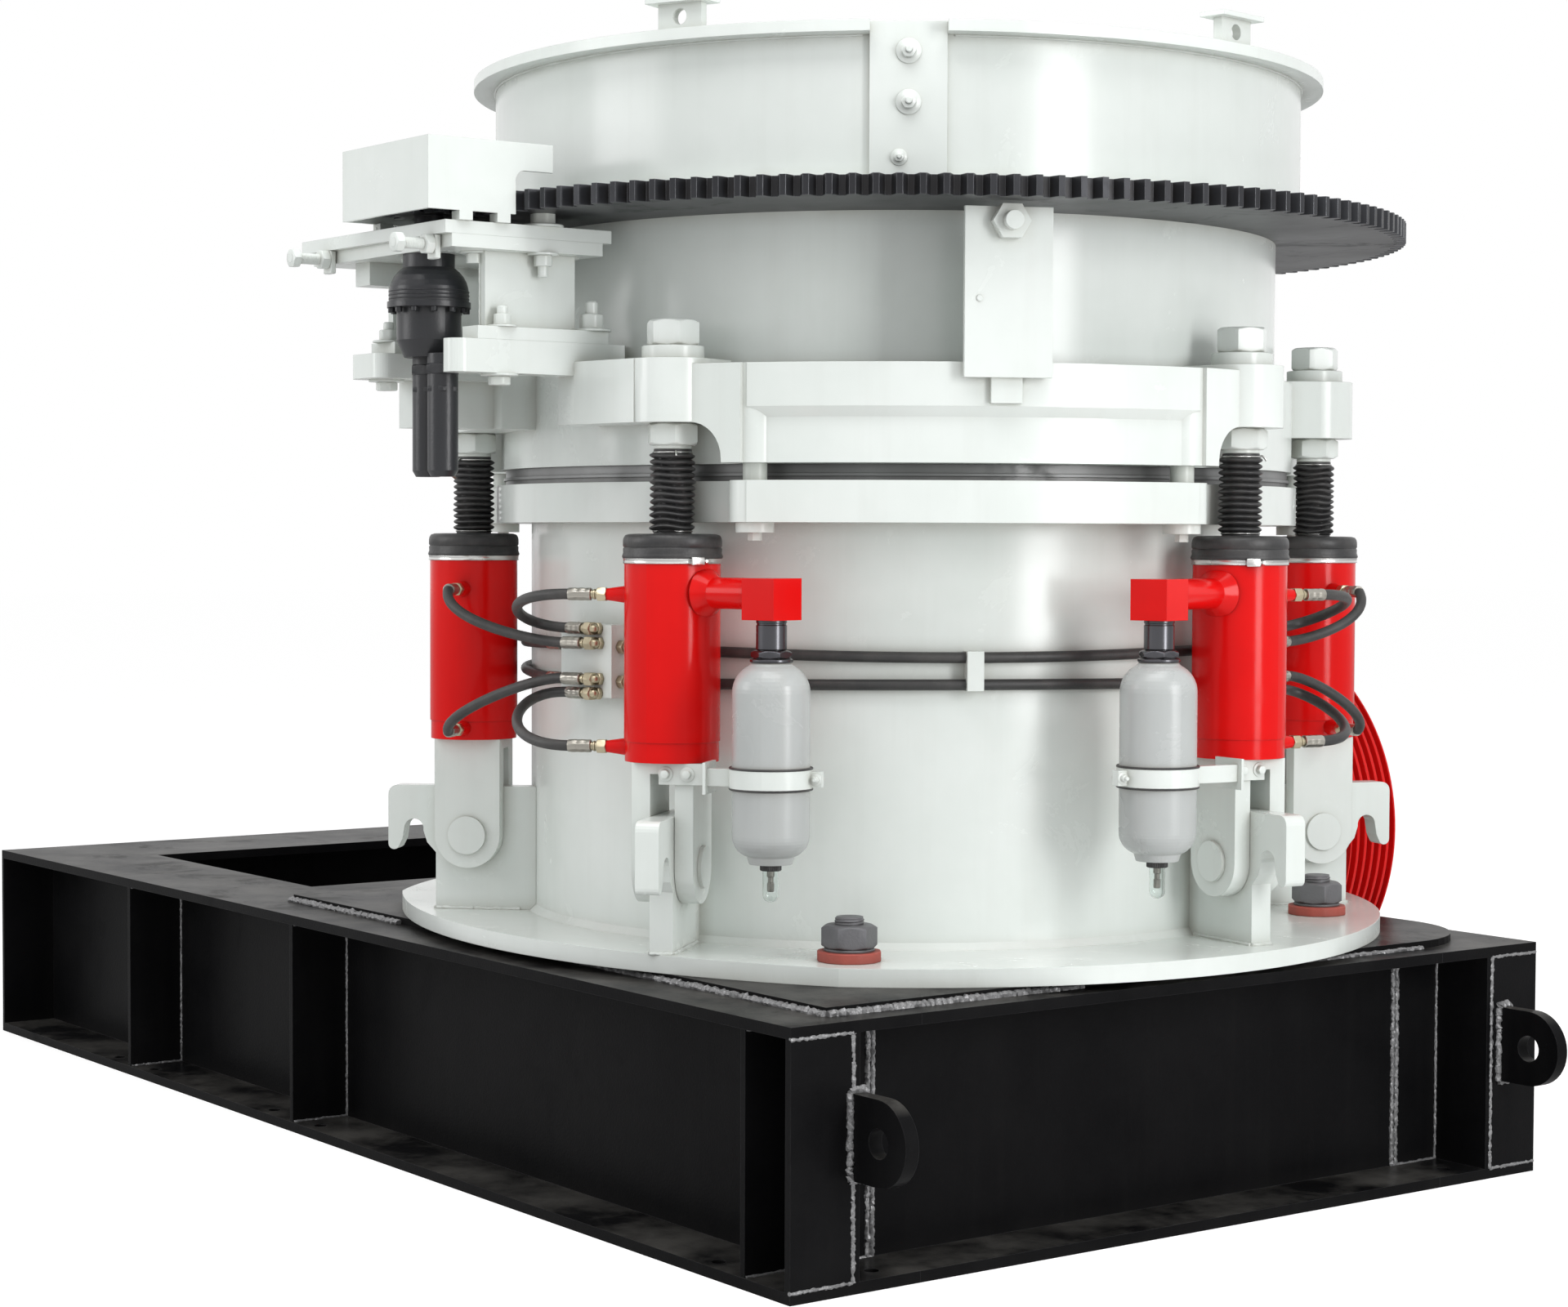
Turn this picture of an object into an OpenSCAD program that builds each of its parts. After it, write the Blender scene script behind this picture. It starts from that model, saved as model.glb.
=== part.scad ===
// Multi-cylinder cone crusher on its welded steel base.
// Millimetres, +Z up, floor at z = 0, origin in the middle of the base's footprint.
// +X runs along the base towards the crusher's end, +Y is the belt side.

/* [Base] */
// overall length of the welded base
base_l = 3690; // [3400:10:4000]
// overall width of the welded base
base_w = 2015; // [1990:5:2100]
// height of the base beams
base_h = 502; // [480:2:520]
// flange width of the base beams
beam_w = 300; // [280:5:320]
// flange thickness of the base beams
beam_ft = 22; // [16:1:30]
// web thickness of the base beams
beam_wt = 14; // [10:1:20]
// thickness of the deck plate under the crusher
bed_t = 16; // [12:1:20]
// distance of the crusher's axis from the middle of the base, along X
crusher_x = 805; // [780:5:820]
// distance of the crusher's axis from the middle of the base, along Y
crusher_y = 42; // [0:1:60]
// radius of the hole in the deck that the crushed stone falls through
drop_r = 640; // [560:10:700]
// radius of the foundation bolt holes in the bottom flanges
found_r = 14; // [11:1:18]

/* [Main frame] */
// radius of the round foot plate
foot_r = 1085; // [1080:5:1095]
// thickness of the round foot plate
foot_t = 36; // [32:1:38]
// outer radius of the frame's barrel
barrel_r = 815; // [805:1:820]
// wall thickness of the barrel
barrel_t = 45; // [30:1:50]
// height of the underside of the frame's top flange above the floor
flange_z = 1406; // [1400:1:1412]
// thickness of the frame's top flange
flange_t = 82; // [76:1:84]
// radius of the top flange where a cylinder rod passes it
flange_r = 893; // [885:1:895]
// radius of the lobes between the pairs of cylinders
lobe_r = 1000; // [990:1:1010]
// distance of the anchor bolts from the crusher's axis, along X
anchor_x = 712; // [704:2:716]
// distance of the drive side's anchor bolts from the axis, along Y
anchor_y = 668; // [660:2:672]

/* [Tramp release cylinders] */
// radius of the circle the cylinders stand on
cyl_r = 945; // [943:1:950]
// angle of the manifold block of the first pair
pair_a = -88; // [-89:0.5:-87]
// angle between a manifold block and the cylinder on either side of it
pair_h = 22; // [21.5:0.5:22.5]
// how much further round the cylinder behind the adjusting drive stands
wide_a = 7; // [5:0.5:7.5]
// angle by which a clevis and its lug plate are turned away from the radius
clevis_turn = 17; // [15:1:19]
// outer radius of a cylinder tube
tube_r = 96; // [90:1:98]
// bottom of the tube above the floor
tube_z0 = 932; // [925:1:940]
// top of the tube above the floor
tube_z1 = 1324; // [1310:1:1330]
// height of the clevis pin above the floor
pin_z = 721; // [715:1:726]
// radius of the clevis pin
pin_r = 36; // [30:1:38]

/* [Accumulators and hydraulics] */
// radius of the circle the accumulators hang on
acc_r = 1030; // [1025:1:1040]
// radius of an accumulator bottle
bottle_r = 76; // [70:1:78]
// outer radius of a hydraulic hose
hose_r = 11; // [8:0.5:12]
// height of the upper hose around the barrel
hose_z1 = 1150; // [1145:1:1155]
// height of the lower hose around the barrel
hose_z0 = 1078; // [1070:1:1082]

/* [Adjustment ring, bowl and hopper] */
// underside of the adjustment ring above the floor
ring_z0 = 1522; // [1518:1:1526]
// top of the adjustment ring above the floor
ring_z1 = 1716; // [1712:1:1720]
// outer radius of the bowl
bowl_r = 843; // [838:1:846]
// number of teeth on the ring gear
gear_n = 159; // [156:1:160]
// module of the ring gear
gear_m = 14; // [13.8:0.1:14.2]
// thickness of the ring gear
gear_t = 40; // [36:1:44]
// underside of the ring gear above the floor
gear_z = 2022; // [2020:1:2026]
// number of teeth on the drive pinion
pinion_n = 12; // [11:1:13]
// outer radius of the hopper
hopper_r = 895; // [885:1:900]
// radius of the hopper's top flange
rim_r = 943; // [930:1:950]
// top of the hopper above the floor
hopper_z = 2380; // [2340:1:2420]

/* [Drive] */
// angle of the adjusting drive's pinion around the crusher
drive_a = -90; // [-90.5:0.5:-89.5]
// radius of the belt sheave
sheave_r = 450; // [420:5:460]
// height of the countershaft above the floor
shaft_z = 690; // [685:1:700]
// number of belts on the sheave
belt_n = 6; // [4:1:7]

/* [Hidden] */
$fn = 144;
// clearance between moving and standing pieces, and of a shaft in its bore
gap = 8;
run = 0.05;
bed_z = base_h + bed_t;
foot_z = bed_z + foot_t;
flange_top = flange_z + flange_t;
gear_top = gear_z + gear_t;
pitch_r = gear_n*gear_m/2;
pinion_r = pinion_n*gear_m/2;
drive_x = (pitch_r + pinion_r)*cos(drive_a);
drive_y = (pitch_r + pinion_r)*sin(drive_a);
pair_angles = [pair_a, pair_a + 120, pair_a + 240];
// angle from a pair's block to its cylinder on side s
function half_a(k, s) = k == 0 && s < 0 ? pair_h + wide_a : pair_h;
cyl_angles = [for (k = [0:2], s = [-1, 1]) pair_angles[k] + s*half_a(k, s)];
// middle and half width of the lobes between the pairs
lobes = [[pair_a + 60, 27], [pair_a + 180, 27], [pair_a + 288, 17]];
// the accumulator of the second pair stands on the other side of it, as in a mirror
acc_angles = [pair_a + 36.5, pair_a + 80, pair_a + 276.5];
acc_cyl_angles = [pair_a + pair_h, pair_a + 120 - pair_h, pair_a + 240 + pair_h];
hex = 6;

// colours
c_black = [0.05, 0.05, 0.055];
c_white = [0.88, 0.90, 0.88];
c_red = [0.80, 0.05, 0.04];
c_dark = [0.14, 0.14, 0.15];
c_grey = [0.62, 0.63, 0.64];
c_steel = [0.72, 0.73, 0.74];
c_zinc = [0.66, 0.60, 0.42];
c_iron = [0.25, 0.24, 0.23];
c_clay = [0.58, 0.20, 0.15];
c_clear = [0.80, 0.84, 0.84];

module at_crusher() { translate([crusher_x, crusher_y, 0]) children(); }
module polar(r, a) { rotate([0, 0, a]) translate([r, 0, 0]) children(); }
// a box given by its lowest and highest corners
module box(p, q) { translate(p) cube(q - p); }
// points of an arc, for outlines
function arc(x, y, r, a0, a1, n = 8) = [for (i = [0:n]) let (a = a0 + (a1 - a0)*i/n) [x + r*cos(a), y + r*sin(a)]];
// an outline in the X-Z plane made into a plate t thick, centred on y = 0
module plate_xz(t, points) { translate([0, t/2, 0]) rotate([90, 0, 0]) linear_extrude(t) polygon(points); }

// ---------------------------------------------------------------- base

web_y = base_w/2 - beam_w/2;
closing_t = 12;
// one I beam along X
module beam(l) {
  box([-l/2, -beam_w/2, 0], [l/2, beam_w/2, beam_ft]);
  box([-l/2, -beam_w/2, base_h - beam_ft], [l/2, beam_w/2, base_h]);
  box([closing_t - l/2, -beam_wt/2, beam_ft], [l/2, beam_wt/2, base_h - beam_ft]);
}
// an I beam of flange width w across the base, between the long beams
module cross_beam(x, w) {
  y = base_w/2 - beam_w;
  box([x - w/2, -y, 0], [x + w/2, y, beam_ft]);
  box([x - w/2, -y, base_h - beam_ft], [x + w/2, y, base_h]);
  box([x - beam_wt/2, beam_wt/2 - web_y, beam_ft], [x + beam_wt/2, web_y - beam_wt/2, base_h - beam_ft]);
}
end_x = base_l/2 - beam_w/2;
tail_w = 360;
stiff_x = [-1004, -104, end_x];
// a stiffener plate between the flanges, on one side of a long beam's web
module stiffener(x, s) {
  edge = 2;
  y0 = s > 0 ? beam_wt/2 : edge - beam_w/2;
  box([x - beam_wt/2, y0, beam_ft], [x + beam_wt/2, y0 + beam_w/2 - beam_wt/2 - edge, base_h - beam_ft]);
}
found_x = [-1139, -921, -256, -25, 1572];
module side_beams() {
  corner_w = 142;
  corner_t = 16;
  color(c_black) difference() {
    for (s = [-1, 1]) {
      translate([0, s*web_y, 0]) {
        beam(base_l);
        for (x = stiff_x) stiffener(x, s);
        // on the inner side the last one is the cross beam's web
        for (x = stiff_x) if (x < end_x) stiffener(x, -s);
      }
      y0 = s > 0 ? base_w/2 - corner_w : -base_w/2;
      box([base_l/2 - corner_t, y0, beam_ft], [base_l/2, y0 + corner_w, base_h - beam_ft]);
    }
    for (s = [-1, 1], x = found_x) translate([x, s*972, -1]) cylinder(r = found_r, h = beam_ft + 2);
    for (s = [-1, 1]) translate([1790, s*780, -1]) cylinder(r = found_r, h = beam_ft + 2);
  }
}
module cross_beams() {
  color(c_black) {
    cross_beam(end_x, beam_w);
    cross_beam(tail_w/2 - base_l/2, tail_w);
    // under the crusher and at the far edge of the deck
    cross_beam(crusher_x - 800, 160);
    cross_beam(-454, 250);
  }
}
// plate that closes the end away from the crusher, between the flanges
module closing_plate() {
  color(c_black) box([-base_l/2, -base_w/2, beam_ft], [closing_t - base_l/2, base_w/2, base_h - beam_ft]);
}

// deck plate with one rounded corner and the discharge opening
module bed_plate() {
  x0 = -340; x1 = 1777; y0 = -878; y1 = 965; r = 250;
  color(c_black) translate([0, 0, base_h]) difference() {
    linear_extrude(bed_t) polygon(concat([[x0, y0], [x1, y0]], arc(x1 - r, y1 - r, r, 0, 90, 12), [[x0, y1]]));
    at_crusher() translate([0, 0, -1]) cylinder(r = drop_r, h = bed_t + 2);
  }
}

// pulling lug: an upright plate with a round end and a hole
module tow_lug() {
  t = 30; r = 80; out = r; hole_r = 28;
  translate([0, t/2, 0]) rotate([90, 0, 0]) difference() {
    union() {
      translate([out, 0, 0]) cylinder(r = r, h = t);
      box([0, -r, 0], [out, r, t]);
    }
    translate([out, 0, -1]) cylinder(r = hole_r, h = t + 2);
  }
}
module tow_lugs() {
  color(c_black) for (sx = [-1, 1], y = [-856, 905])
    translate([sx*base_l/2, y, 290]) rotate([0, 0, sx > 0 ? 0 : 180]) tow_lug();
}

// ---------------------------------------------------------------- main frame

boss_r = 50;
boss_c = 948;
// one lobe of the flange, the size of the whole lobe between two pairs of cylinders
module lobe(h, ro, z0, z1) {
  rotate([0, 0, -h]) rotate_extrude(angle = 2*h) translate([flange_r - 60, z0]) square([ro - flange_r + 60, z1 - z0]);
  for (s = [-1, 1]) polar(boss_c, s*h) {
    translate([0, 0, z0]) cylinder(r = boss_r, h = z1 - z0);
    box([flange_r - 40 - boss_c, -boss_r, z0], [0, boss_r, z1]);
  }
}

// foot plate: round, longer towards the tail of the base, flatter beside the adjusting drive, and cut straight to
// clear the sheave
module foot_plate() {
  long = 85; flat_r = 1475; flat_x = -60; flat_y = -1015; cut = 1000;
  intersection() {
    union() for (x = [0, -long]) translate([x, 0, 0]) cylinder(r = foot_r, h = foot_t);
    translate([flat_x, flat_y + flat_r, 0]) cylinder(r = flat_r, h = foot_t);
    box([-2*foot_r, -2*foot_r, 0], [2*foot_r, cut, foot_t]);
  }
}
module main_frame() {
  hub_r = 300; hub_h = 560; arm_w = 120; arm_h = 300; lift = 60;
  sleeve_r = 150; sleeve_y = 985; bore_r = 90;
  color(c_white) at_crusher() difference() {
    union() {
      translate([0, 0, bed_z]) foot_plate();
      translate([0, 0, foot_z]) cylinder(r = barrel_r, h = flange_z - foot_z);
      // weld fillet round the foot of the barrel
      translate([0, 0, foot_z]) cylinder(r1 = barrel_r + 14, r2 = barrel_r, h = 14);
      translate([0, 0, flange_z]) cylinder(r = flange_r, h = flange_t);
      for (l = lobes) rotate([0, 0, l[0]]) lobe(l[1], lobe_r, flange_z, flange_top);
      // sleeve of the countershaft
      translate([0, 0, shaft_z]) rotate([-90, 0, 0]) cylinder(r = sleeve_r, h = sleeve_y);
    }
    difference() {
      translate([0, 0, bed_z - 1]) cylinder(r = barrel_r - barrel_t, h = flange_top);
      union() {
        // hub that carries the main shaft, on four arms
        translate([0, 0, bed_z + lift]) cylinder(r = hub_r, h = hub_h);
        for (a = [0:90:270]) rotate([0, 0, a])
          box([0, -arm_w/2, bed_z + lift], [barrel_r, arm_w/2, bed_z + lift + arm_h]);
      }
    }
    translate([0, 420, shaft_z]) rotate([-90, 0, 0]) cylinder(r = bore_r, h = 600);
    for (q = anchors) translate([q[0], q[1], bed_z - 1]) cylinder(r = stud_r, h = foot_t + 2);
  }
}

// plate that a cylinder's clevis straddles, ending in a hook that opens downwards; X runs outwards from the pin
lug_t = 48;
lug_top = 826;
module lug_plate() {
  x0 = -190; x1 = 80; slot_r = 22; slot_x = x1 + 50; slot_z = 730; out = 188; tip_r = 13; tip_z = 696;
  plate_xz(lug_t, concat([[x0, foot_z], [x1, foot_z], [x1, 678], [x1 + 20, 700]],
    arc(slot_x, slot_z, slot_r, 190, 0, 10), [[slot_x + slot_r + 4, 706]], arc(out - tip_r, tip_z, tip_r, 220, 360, 6),
    arc(out - 20, lug_top - 20, 20, 0, 90, 5), [[x0, lug_top]]));
}
module each_lug() { for (k = [0:2], s = [-1, 1]) polar(cyl_r, pair_angles[k] + s*half_a(k, s)) rotate([0, 0, s*clevis_turn]) children(); }
module lug_plates() {
  color(c_white) at_crusher() difference() {
    each_lug() lug_plate();
    translate([0, 0, foot_z - 1]) cylinder(r = barrel_r, h = 600);
    translate([0, 0, foot_z - 1]) cylinder(r1 = barrel_r + 15, r2 = barrel_r, h = 15);
    each_lug() translate([0, 60, pin_z]) rotate([90, 0, 0]) cylinder(r = pin_r, h = 120);
  }
}

stud_r = 30;
washer_t = 20;
// the bolts stand square to the base, so nearer to the crusher's axis on the belt side
anchors = [for (s = [-1, 1], y = [-anchor_y, anchor_y - crusher_y]) [s*anchor_x, y]];
module each_anchor() { at_crusher() for (q = anchors) translate([q[0], q[1], 0]) children(); }
module anchor_washers() {
  color(c_clay) each_anchor() translate([0, 0, foot_z]) difference() {
    cylinder(r = 60, h = washer_t);
    translate([0, 0, -1]) cylinder(r = stud_r, h = washer_t + 2);
  }
}
module anchor_bolts() {
  nut_r = 55; nut_h = 46; thin_r = 50; thin_t = 5;
  color(c_dark) each_anchor() {
    translate([0, 0, bed_z]) cylinder(r = stud_r, h = foot_t + washer_t + thin_t + nut_h + 16);
    translate([0, 0, foot_z + washer_t]) cylinder(r = thin_r, h = thin_t);
    translate([0, 0, foot_z + washer_t + thin_t]) rotate([0, 0, 12]) cylinder(r = nut_r, h = nut_h, $fn = hex);
  }
}

// ---------------------------------------------------------------- tramp release cylinders

cheek_r = 73;
cheek_t = 38;
module each_cylinder() { at_crusher() for (a = cyl_angles) polar(cyl_r, a) children(); }
module each_clevis() { at_crusher() each_lug() children(); }

module clevises() {
  head_t = 22;
  color(c_white) each_clevis() difference() {
    union() {
      for (s = [-1, 1]) translate([0, s*(lug_t/2 + 1 + cheek_t/2), 0]) {
        box([-cheek_r, -cheek_t/2, pin_z], [cheek_r, cheek_t/2, tube_z0 - head_t]);
        translate([0, cheek_t/2, pin_z]) rotate([90, 0, 0]) cylinder(r = cheek_r, h = cheek_t);
      }
      box([-cheek_r, -lug_t/2 - 1 - cheek_t, tube_z0 - head_t], [cheek_r, lug_t/2 + 1 + cheek_t, tube_z0]);
    }
    translate([0, 80, pin_z]) rotate([90, 0, 0]) cylinder(r = pin_r, h = 160);
  }
}
module clevis_pins() {
  half = lug_t/2 + 1 + cheek_t; cap_r = 42; cap_t = 8;
  color(c_white) each_clevis() {
    translate([0, half, pin_z]) rotate([90, 0, 0]) cylinder(r = pin_r, h = 2*half);
    for (s = [0, 1]) translate([0, s*(half + cap_t) - (1 - s)*half, pin_z]) rotate([90, 0, 0]) cylinder(r = cap_r, h = cap_t);
  }
}
// hydraulic ports of a cylinder point towards the other one of its pair, turned 72 degrees from the radius
port_zs = [958, 1262];
port_out = 134;
port_turn = 72;
module each_port() {
  at_crusher() for (k = [0:2], s = [-1, 1]) polar(cyl_r, pair_angles[k] + s*half_a(k, s))
    for (z = port_zs) translate([0, 0, z]) rotate([0, 0, -s*port_turn]) children();
}
module cylinder_tubes() {
  groove_z = 972;
  color(c_red) {
    each_cylinder() {
      translate([0, 0, tube_z0]) cylinder(r = tube_r - 2, h = groove_z - tube_z0);
      translate([0, 0, groove_z]) cylinder(r = tube_r, h = tube_z1 - groove_z);
    }
    each_port() translate([tube_r - 12, 0, 0]) rotate([0, 90, 0]) cylinder(r1 = 19, r2 = 12, h = port_out - tube_r + 12);
  }
}
module boot_clamps() {
  color(c_steel) each_cylinder() translate([0, 0, tube_z1]) cylinder(r = tube_r + 3, h = 11);
}
module dust_boots() {
  color(c_dark) each_cylinder() {
    translate([0, 0, tube_z1 + 11]) cylinder(r = tube_r + 2, h = 40);
    translate([0, 0, tube_z1 + 51]) cylinder(r1 = tube_r + 2, r2 = tube_r - 6, h = 8);
  }
}
bellows_z = [tube_z1 + 59, 1550];
module rod_bellows() {
  n = 12; r0 = 36; r1 = 42;
  h = (bellows_z[1] - bellows_z[0])/n;
  color(c_dark) each_cylinder() rotate_extrude() polygon(concat([[0, bellows_z[0]]],
    [for (i = [0:n - 1]) each [[r0, bellows_z[0] + h*i], [r1, bellows_z[0] + h*(i + 0.5)]]], [[r0, bellows_z[1]], [0, bellows_z[1]]]));
}
rod_r = 36;
rod_lug_z = [1602, 1728];
module rod_nuts() {
  nut_r = 54; low_h = 44; top_h = 52; washer_h = 26;
  color(c_white) each_cylinder() {
    translate([0, 0, bellows_z[1]]) cylinder(r = 38, h = rod_lug_z[0] - low_h - bellows_z[1]);
    translate([0, 0, rod_lug_z[0] - low_h]) cylinder(r = nut_r, h = low_h, $fn = hex);
    translate([0, 0, rod_lug_z[0]]) cylinder(r = rod_r, h = rod_lug_z[1] - rod_lug_z[0]);
    translate([0, 0, rod_lug_z[1]]) cylinder(r = 62, h = washer_h);
    translate([0, 0, rod_lug_z[1] + washer_h]) cylinder(r = nut_r, h = top_h, $fn = hex);
  }
}

// ---------------------------------------------------------------- accumulators

elbow_z = [1217, 1298];
bottle_z = [757, 1135];
// angle and distance from a cylinder to its accumulator, seen in plan
function turned(r, a) = [r*cos(a), r*sin(a)];
function acc_away(k) = turned(acc_r, acc_angles[k]) - turned(cyl_r, acc_cyl_angles[k]);
module each_accumulator() { at_crusher() for (a = acc_angles) polar(acc_r, a) children(); }
// X runs from the cylinder to its accumulator
module each_elbow() {
  at_crusher() for (k = [0:2]) let (w = acc_away(k))
    translate([turned(acc_r, acc_angles[k])[0], turned(acc_r, acc_angles[k])[1], 0])
      rotate([0, 0, atan2(w[1], w[0])]) { $reach = norm(w); children(); }
}
module oil_elbows() {
  w = 82; arm_r = 31;
  color(c_red) each_elbow() difference() {
    union() {
      box([-w/2, -w/2, elbow_z[0]], [w/2, w/2, elbow_z[1]]);
      translate([-$reach, 0, 1267]) rotate([0, 90, 0]) cylinder(r = arm_r, h = $reach);
      // gusset between the arm and the tube
      translate([tube_r - $reach - 4, 0, 1267]) rotate([0, 90, 0]) cylinder(r1 = 50, r2 = arm_r, h = 26);
    }
    translate([-$reach, 0, 1100]) cylinder(r = tube_r, h = 300);
  }
}
module accumulator_bottles() {
  z0 = bottle_z[0]; z1 = bottle_z[1]; foot = 46; neck = 38; top = 58; low = 44;
  color(c_grey) each_accumulator() rotate_extrude() polygon(concat([[0, z0 - 12], [foot - 4, z0 - 12], [foot, z0]],
    arc(bottle_r - low, z0 + low, low, -70, 0, 8), arc(bottle_r - top, z1 - top, top, 0, 64, 8), [[neck, z1], [0, z1]]));
}
module accumulator_fittings() {
  color(c_dark) each_accumulator() {
    translate([0, 0, bottle_z[1]]) cylinder(r = 42, h = 23);
    translate([0, 0, 1158]) cylinder(r = 30, h = elbow_z[0] - 1158);
  }
}
module charging_valves() {
  z = bottle_z[0] - 12;
  color(c_clear) each_accumulator() {
    translate([0, 0, z - 14]) cylinder(r = 21, h = 14);
    translate([0, 0, z - 62]) cylinder(r = 16, h = 48);
    translate([0, 0, z - 62]) sphere(r = 15.6);
  }
}
// band round the bottle, held by a flat strip bolted across the clevis
band_z = [890, 932];
module accumulator_clamps() {
  t = 5; fit = 0.2; strip_t = 6; ear_y = 100;
  color(c_white) at_crusher() for (k = [0:2]) let (a = abs(acc_angles[k] - acc_cyl_angles[k]),
      vx = acc_r*cos(a) - cyl_r, vy = acc_r*sin(a),
      cx = vx*cos(clevis_turn) + vy*sin(clevis_turn), cy = vy*cos(clevis_turn) - vx*sin(clevis_turn))
    polar(cyl_r, acc_cyl_angles[k]) mirror([0, k == 1 ? 1 : 0, 0]) rotate([0, 0, clevis_turn]) difference() {
      union() {
        box([cheek_r, -6, band_z[0]], [cheek_r + strip_t, ear_y, band_z[1]]);
        box([cheek_r - 10, ear_y, band_z[0] - 12], [cx + 22, ear_y + strip_t, band_z[1] + 8]);
        box([cx - 10, ear_y + strip_t, band_z[0] + 4], [cx + 10, cy - bottle_r, band_z[1] - 4]);
        translate([cx, cy, band_z[0]]) cylinder(r = bottle_r + t, h = band_z[1] - band_z[0]);
        box([cx - 10, cy + bottle_r - 4, band_z[0] + 6], [cx + 10, cy + bottle_r + 26, band_z[1] - 6]);
      }
      translate([cx, cy, band_z[0] - 1]) cylinder(r = bottle_r + fit, h = 80);
    }
}

// ---------------------------------------------------------------- hydraulic hoses

// frame of a pair of cylinders: X outwards through the middle of the pair, the second pair mirrored
module each_pair() { at_crusher() for (k = [0:2]) rotate([0, 0, pair_angles[k]]) mirror([0, k == 1 ? 1 : 0, 0]) children(); }
fit_l = 80;
block_x = 855;
block_y = [-71, 113];
block_z = [1044, 1195];
// unit vector at angle a in plan
function dir(a) = [cos(a), sin(a), 0];
// direction of a port and its tip, for the cylinder on side s of pair k
function port_dir(k, s) = s*(half_a(k, s) - port_turn);
function port_tip(k, s, z) = [0, 0, z] + cyl_r*dir(s*half_a(k, s)) + port_out*dir(port_dir(k, s));
// fittings on the block: place of the root, direction
slant = -72;
block_ports = [[[872, 74, 1157], slant], [[872, 70, 1187], -86], [[872, 74, 1083], slant], [[872, 70, 1053], -86]];
side_x = 831;
side_ports = [for (z = [hose_z1, hose_z0]) each [[[side_x, block_y[1], z], 90], [[side_x, block_y[0], z], -90]]];
// one crimped end fitting along X: nut, neck and ferrule
module fitting() {
  rotate([0, 90, 0]) {
    cylinder(r = 15, h = 20, $fn = hex);
    translate([0, 0, 20]) cylinder(r = 10, h = 12);
    translate([0, 0, 32]) cylinder(r = 12.5, h = fit_l - 32);
  }
}
module manifold_blocks() {
  color(c_white) each_pair() difference() {
    box([barrel_r - 20, block_y[0], block_z[0]], [block_x, block_y[1], block_z[1]]);
    translate([0, 0, block_z[0] - 1]) cylinder(r = barrel_r, h = 200);
  }
}
module hose_fittings() {
  color(c_zinc) {
    each_port() translate([port_out, 0, 0]) fitting();
    each_pair() {
      for (q = block_ports) translate(q[0]) rotate([0, 0, q[1]]) fitting();
      // elbows from the block's face to the slanted fittings
      for (q = block_ports) translate([block_x, q[0][1], q[0][2]]) rotate([0, 90, 0]) cylinder(r = 11, h = q[0][0] - block_x);
      for (q = side_ports) translate(q[0]) rotate([0, 0, q[1]]) fitting();
    }
  }
}
// tube swept through points; the section stands across the path, with u as its flat direction
sides = 8;
function unit(v) = v/norm(v);
function sweep_ring(p, t, u, r) = let (a = unit(u - (u*t)*t), b = cross(t, a))
  [for (i = [0:sides - 1]) p + r*(a*cos(360*i/sides) + b*sin(360*i/sides))];
module swept(points, ends, u, r) {
  n = len(points);
  tangents = [for (i = [0:n - 1]) i == 0 ? unit(ends[0]) : i == n - 1 ? unit(ends[1]) : unit(points[i + 1] - points[i - 1])];
  rings = [for (i = [0:n - 1]) sweep_ring(points[i], tangents[i], u[i], r)];
  polyhedron([for (g = rings) each g], concat([[for (i = [0:sides - 1]) i]],
    [for (i = [0:n - 2], j = [0:sides - 1]) let (k = (j + 1) % sides)
      [i*sides + j, (i + 1)*sides + j, (i + 1)*sides + k, i*sides + k]],
    [[for (i = [sides - 1:-1:0]) (n - 1)*sides + i]]), convexity = 4);
}
function bezier(p, n) = [for (i = [0:n]) let (t = i/n, s = 1 - t) p[0]*s*s*s + 3*p[1]*s*s*t + 3*p[2]*s*t*t + p[3]*t*t*t];
// a hose loop from one fitting's end to another's, swinging out by the two pull lengths
module hose_loop(p, dp, pull_p, q, dq, pull_q, drop_p = 0, drop_q = 0) {
  n = 14;
  pts = bezier([p, p + pull_p*dp + [0, 0, drop_p], q + pull_q*dq + [0, 0, drop_q], q], n);
  swept(pts, [dp, -dq], [for (i = [0:n]) [0.3, 0, 1]], hose_r);
}
function port_end(k, s, z) = port_tip(k, s, z) + fit_l*dir(port_dir(k, s));
function block_end(i) = block_ports[i][0] + fit_l*dir(block_ports[i][1]);
module hydraulic_hoses() {
  color(c_dark) at_crusher() for (k = [0:2]) rotate([0, 0, pair_angles[k]]) mirror([0, k == 1 ? 1 : 0, 0]) {
    hose_loop(port_end(k, 1, port_zs[1]), dir(port_dir(k, 1)), 170, block_end(1), dir(-86), 190, 0, 0);
    hose_loop(port_end(k, -1, port_zs[1]), dir(port_dir(k, -1)), 70, block_end(0), dir(slant), 90, -60, 0);
    hose_loop(port_end(k, 1, port_zs[0]), dir(port_dir(k, 1)), 170, block_end(3), dir(-86), 190, 0, 0);
    hose_loop(port_end(k, -1, port_zs[0]), dir(port_dir(k, -1)), 70, block_end(2), dir(slant), 90, 40, 0);
  }
}
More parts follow.
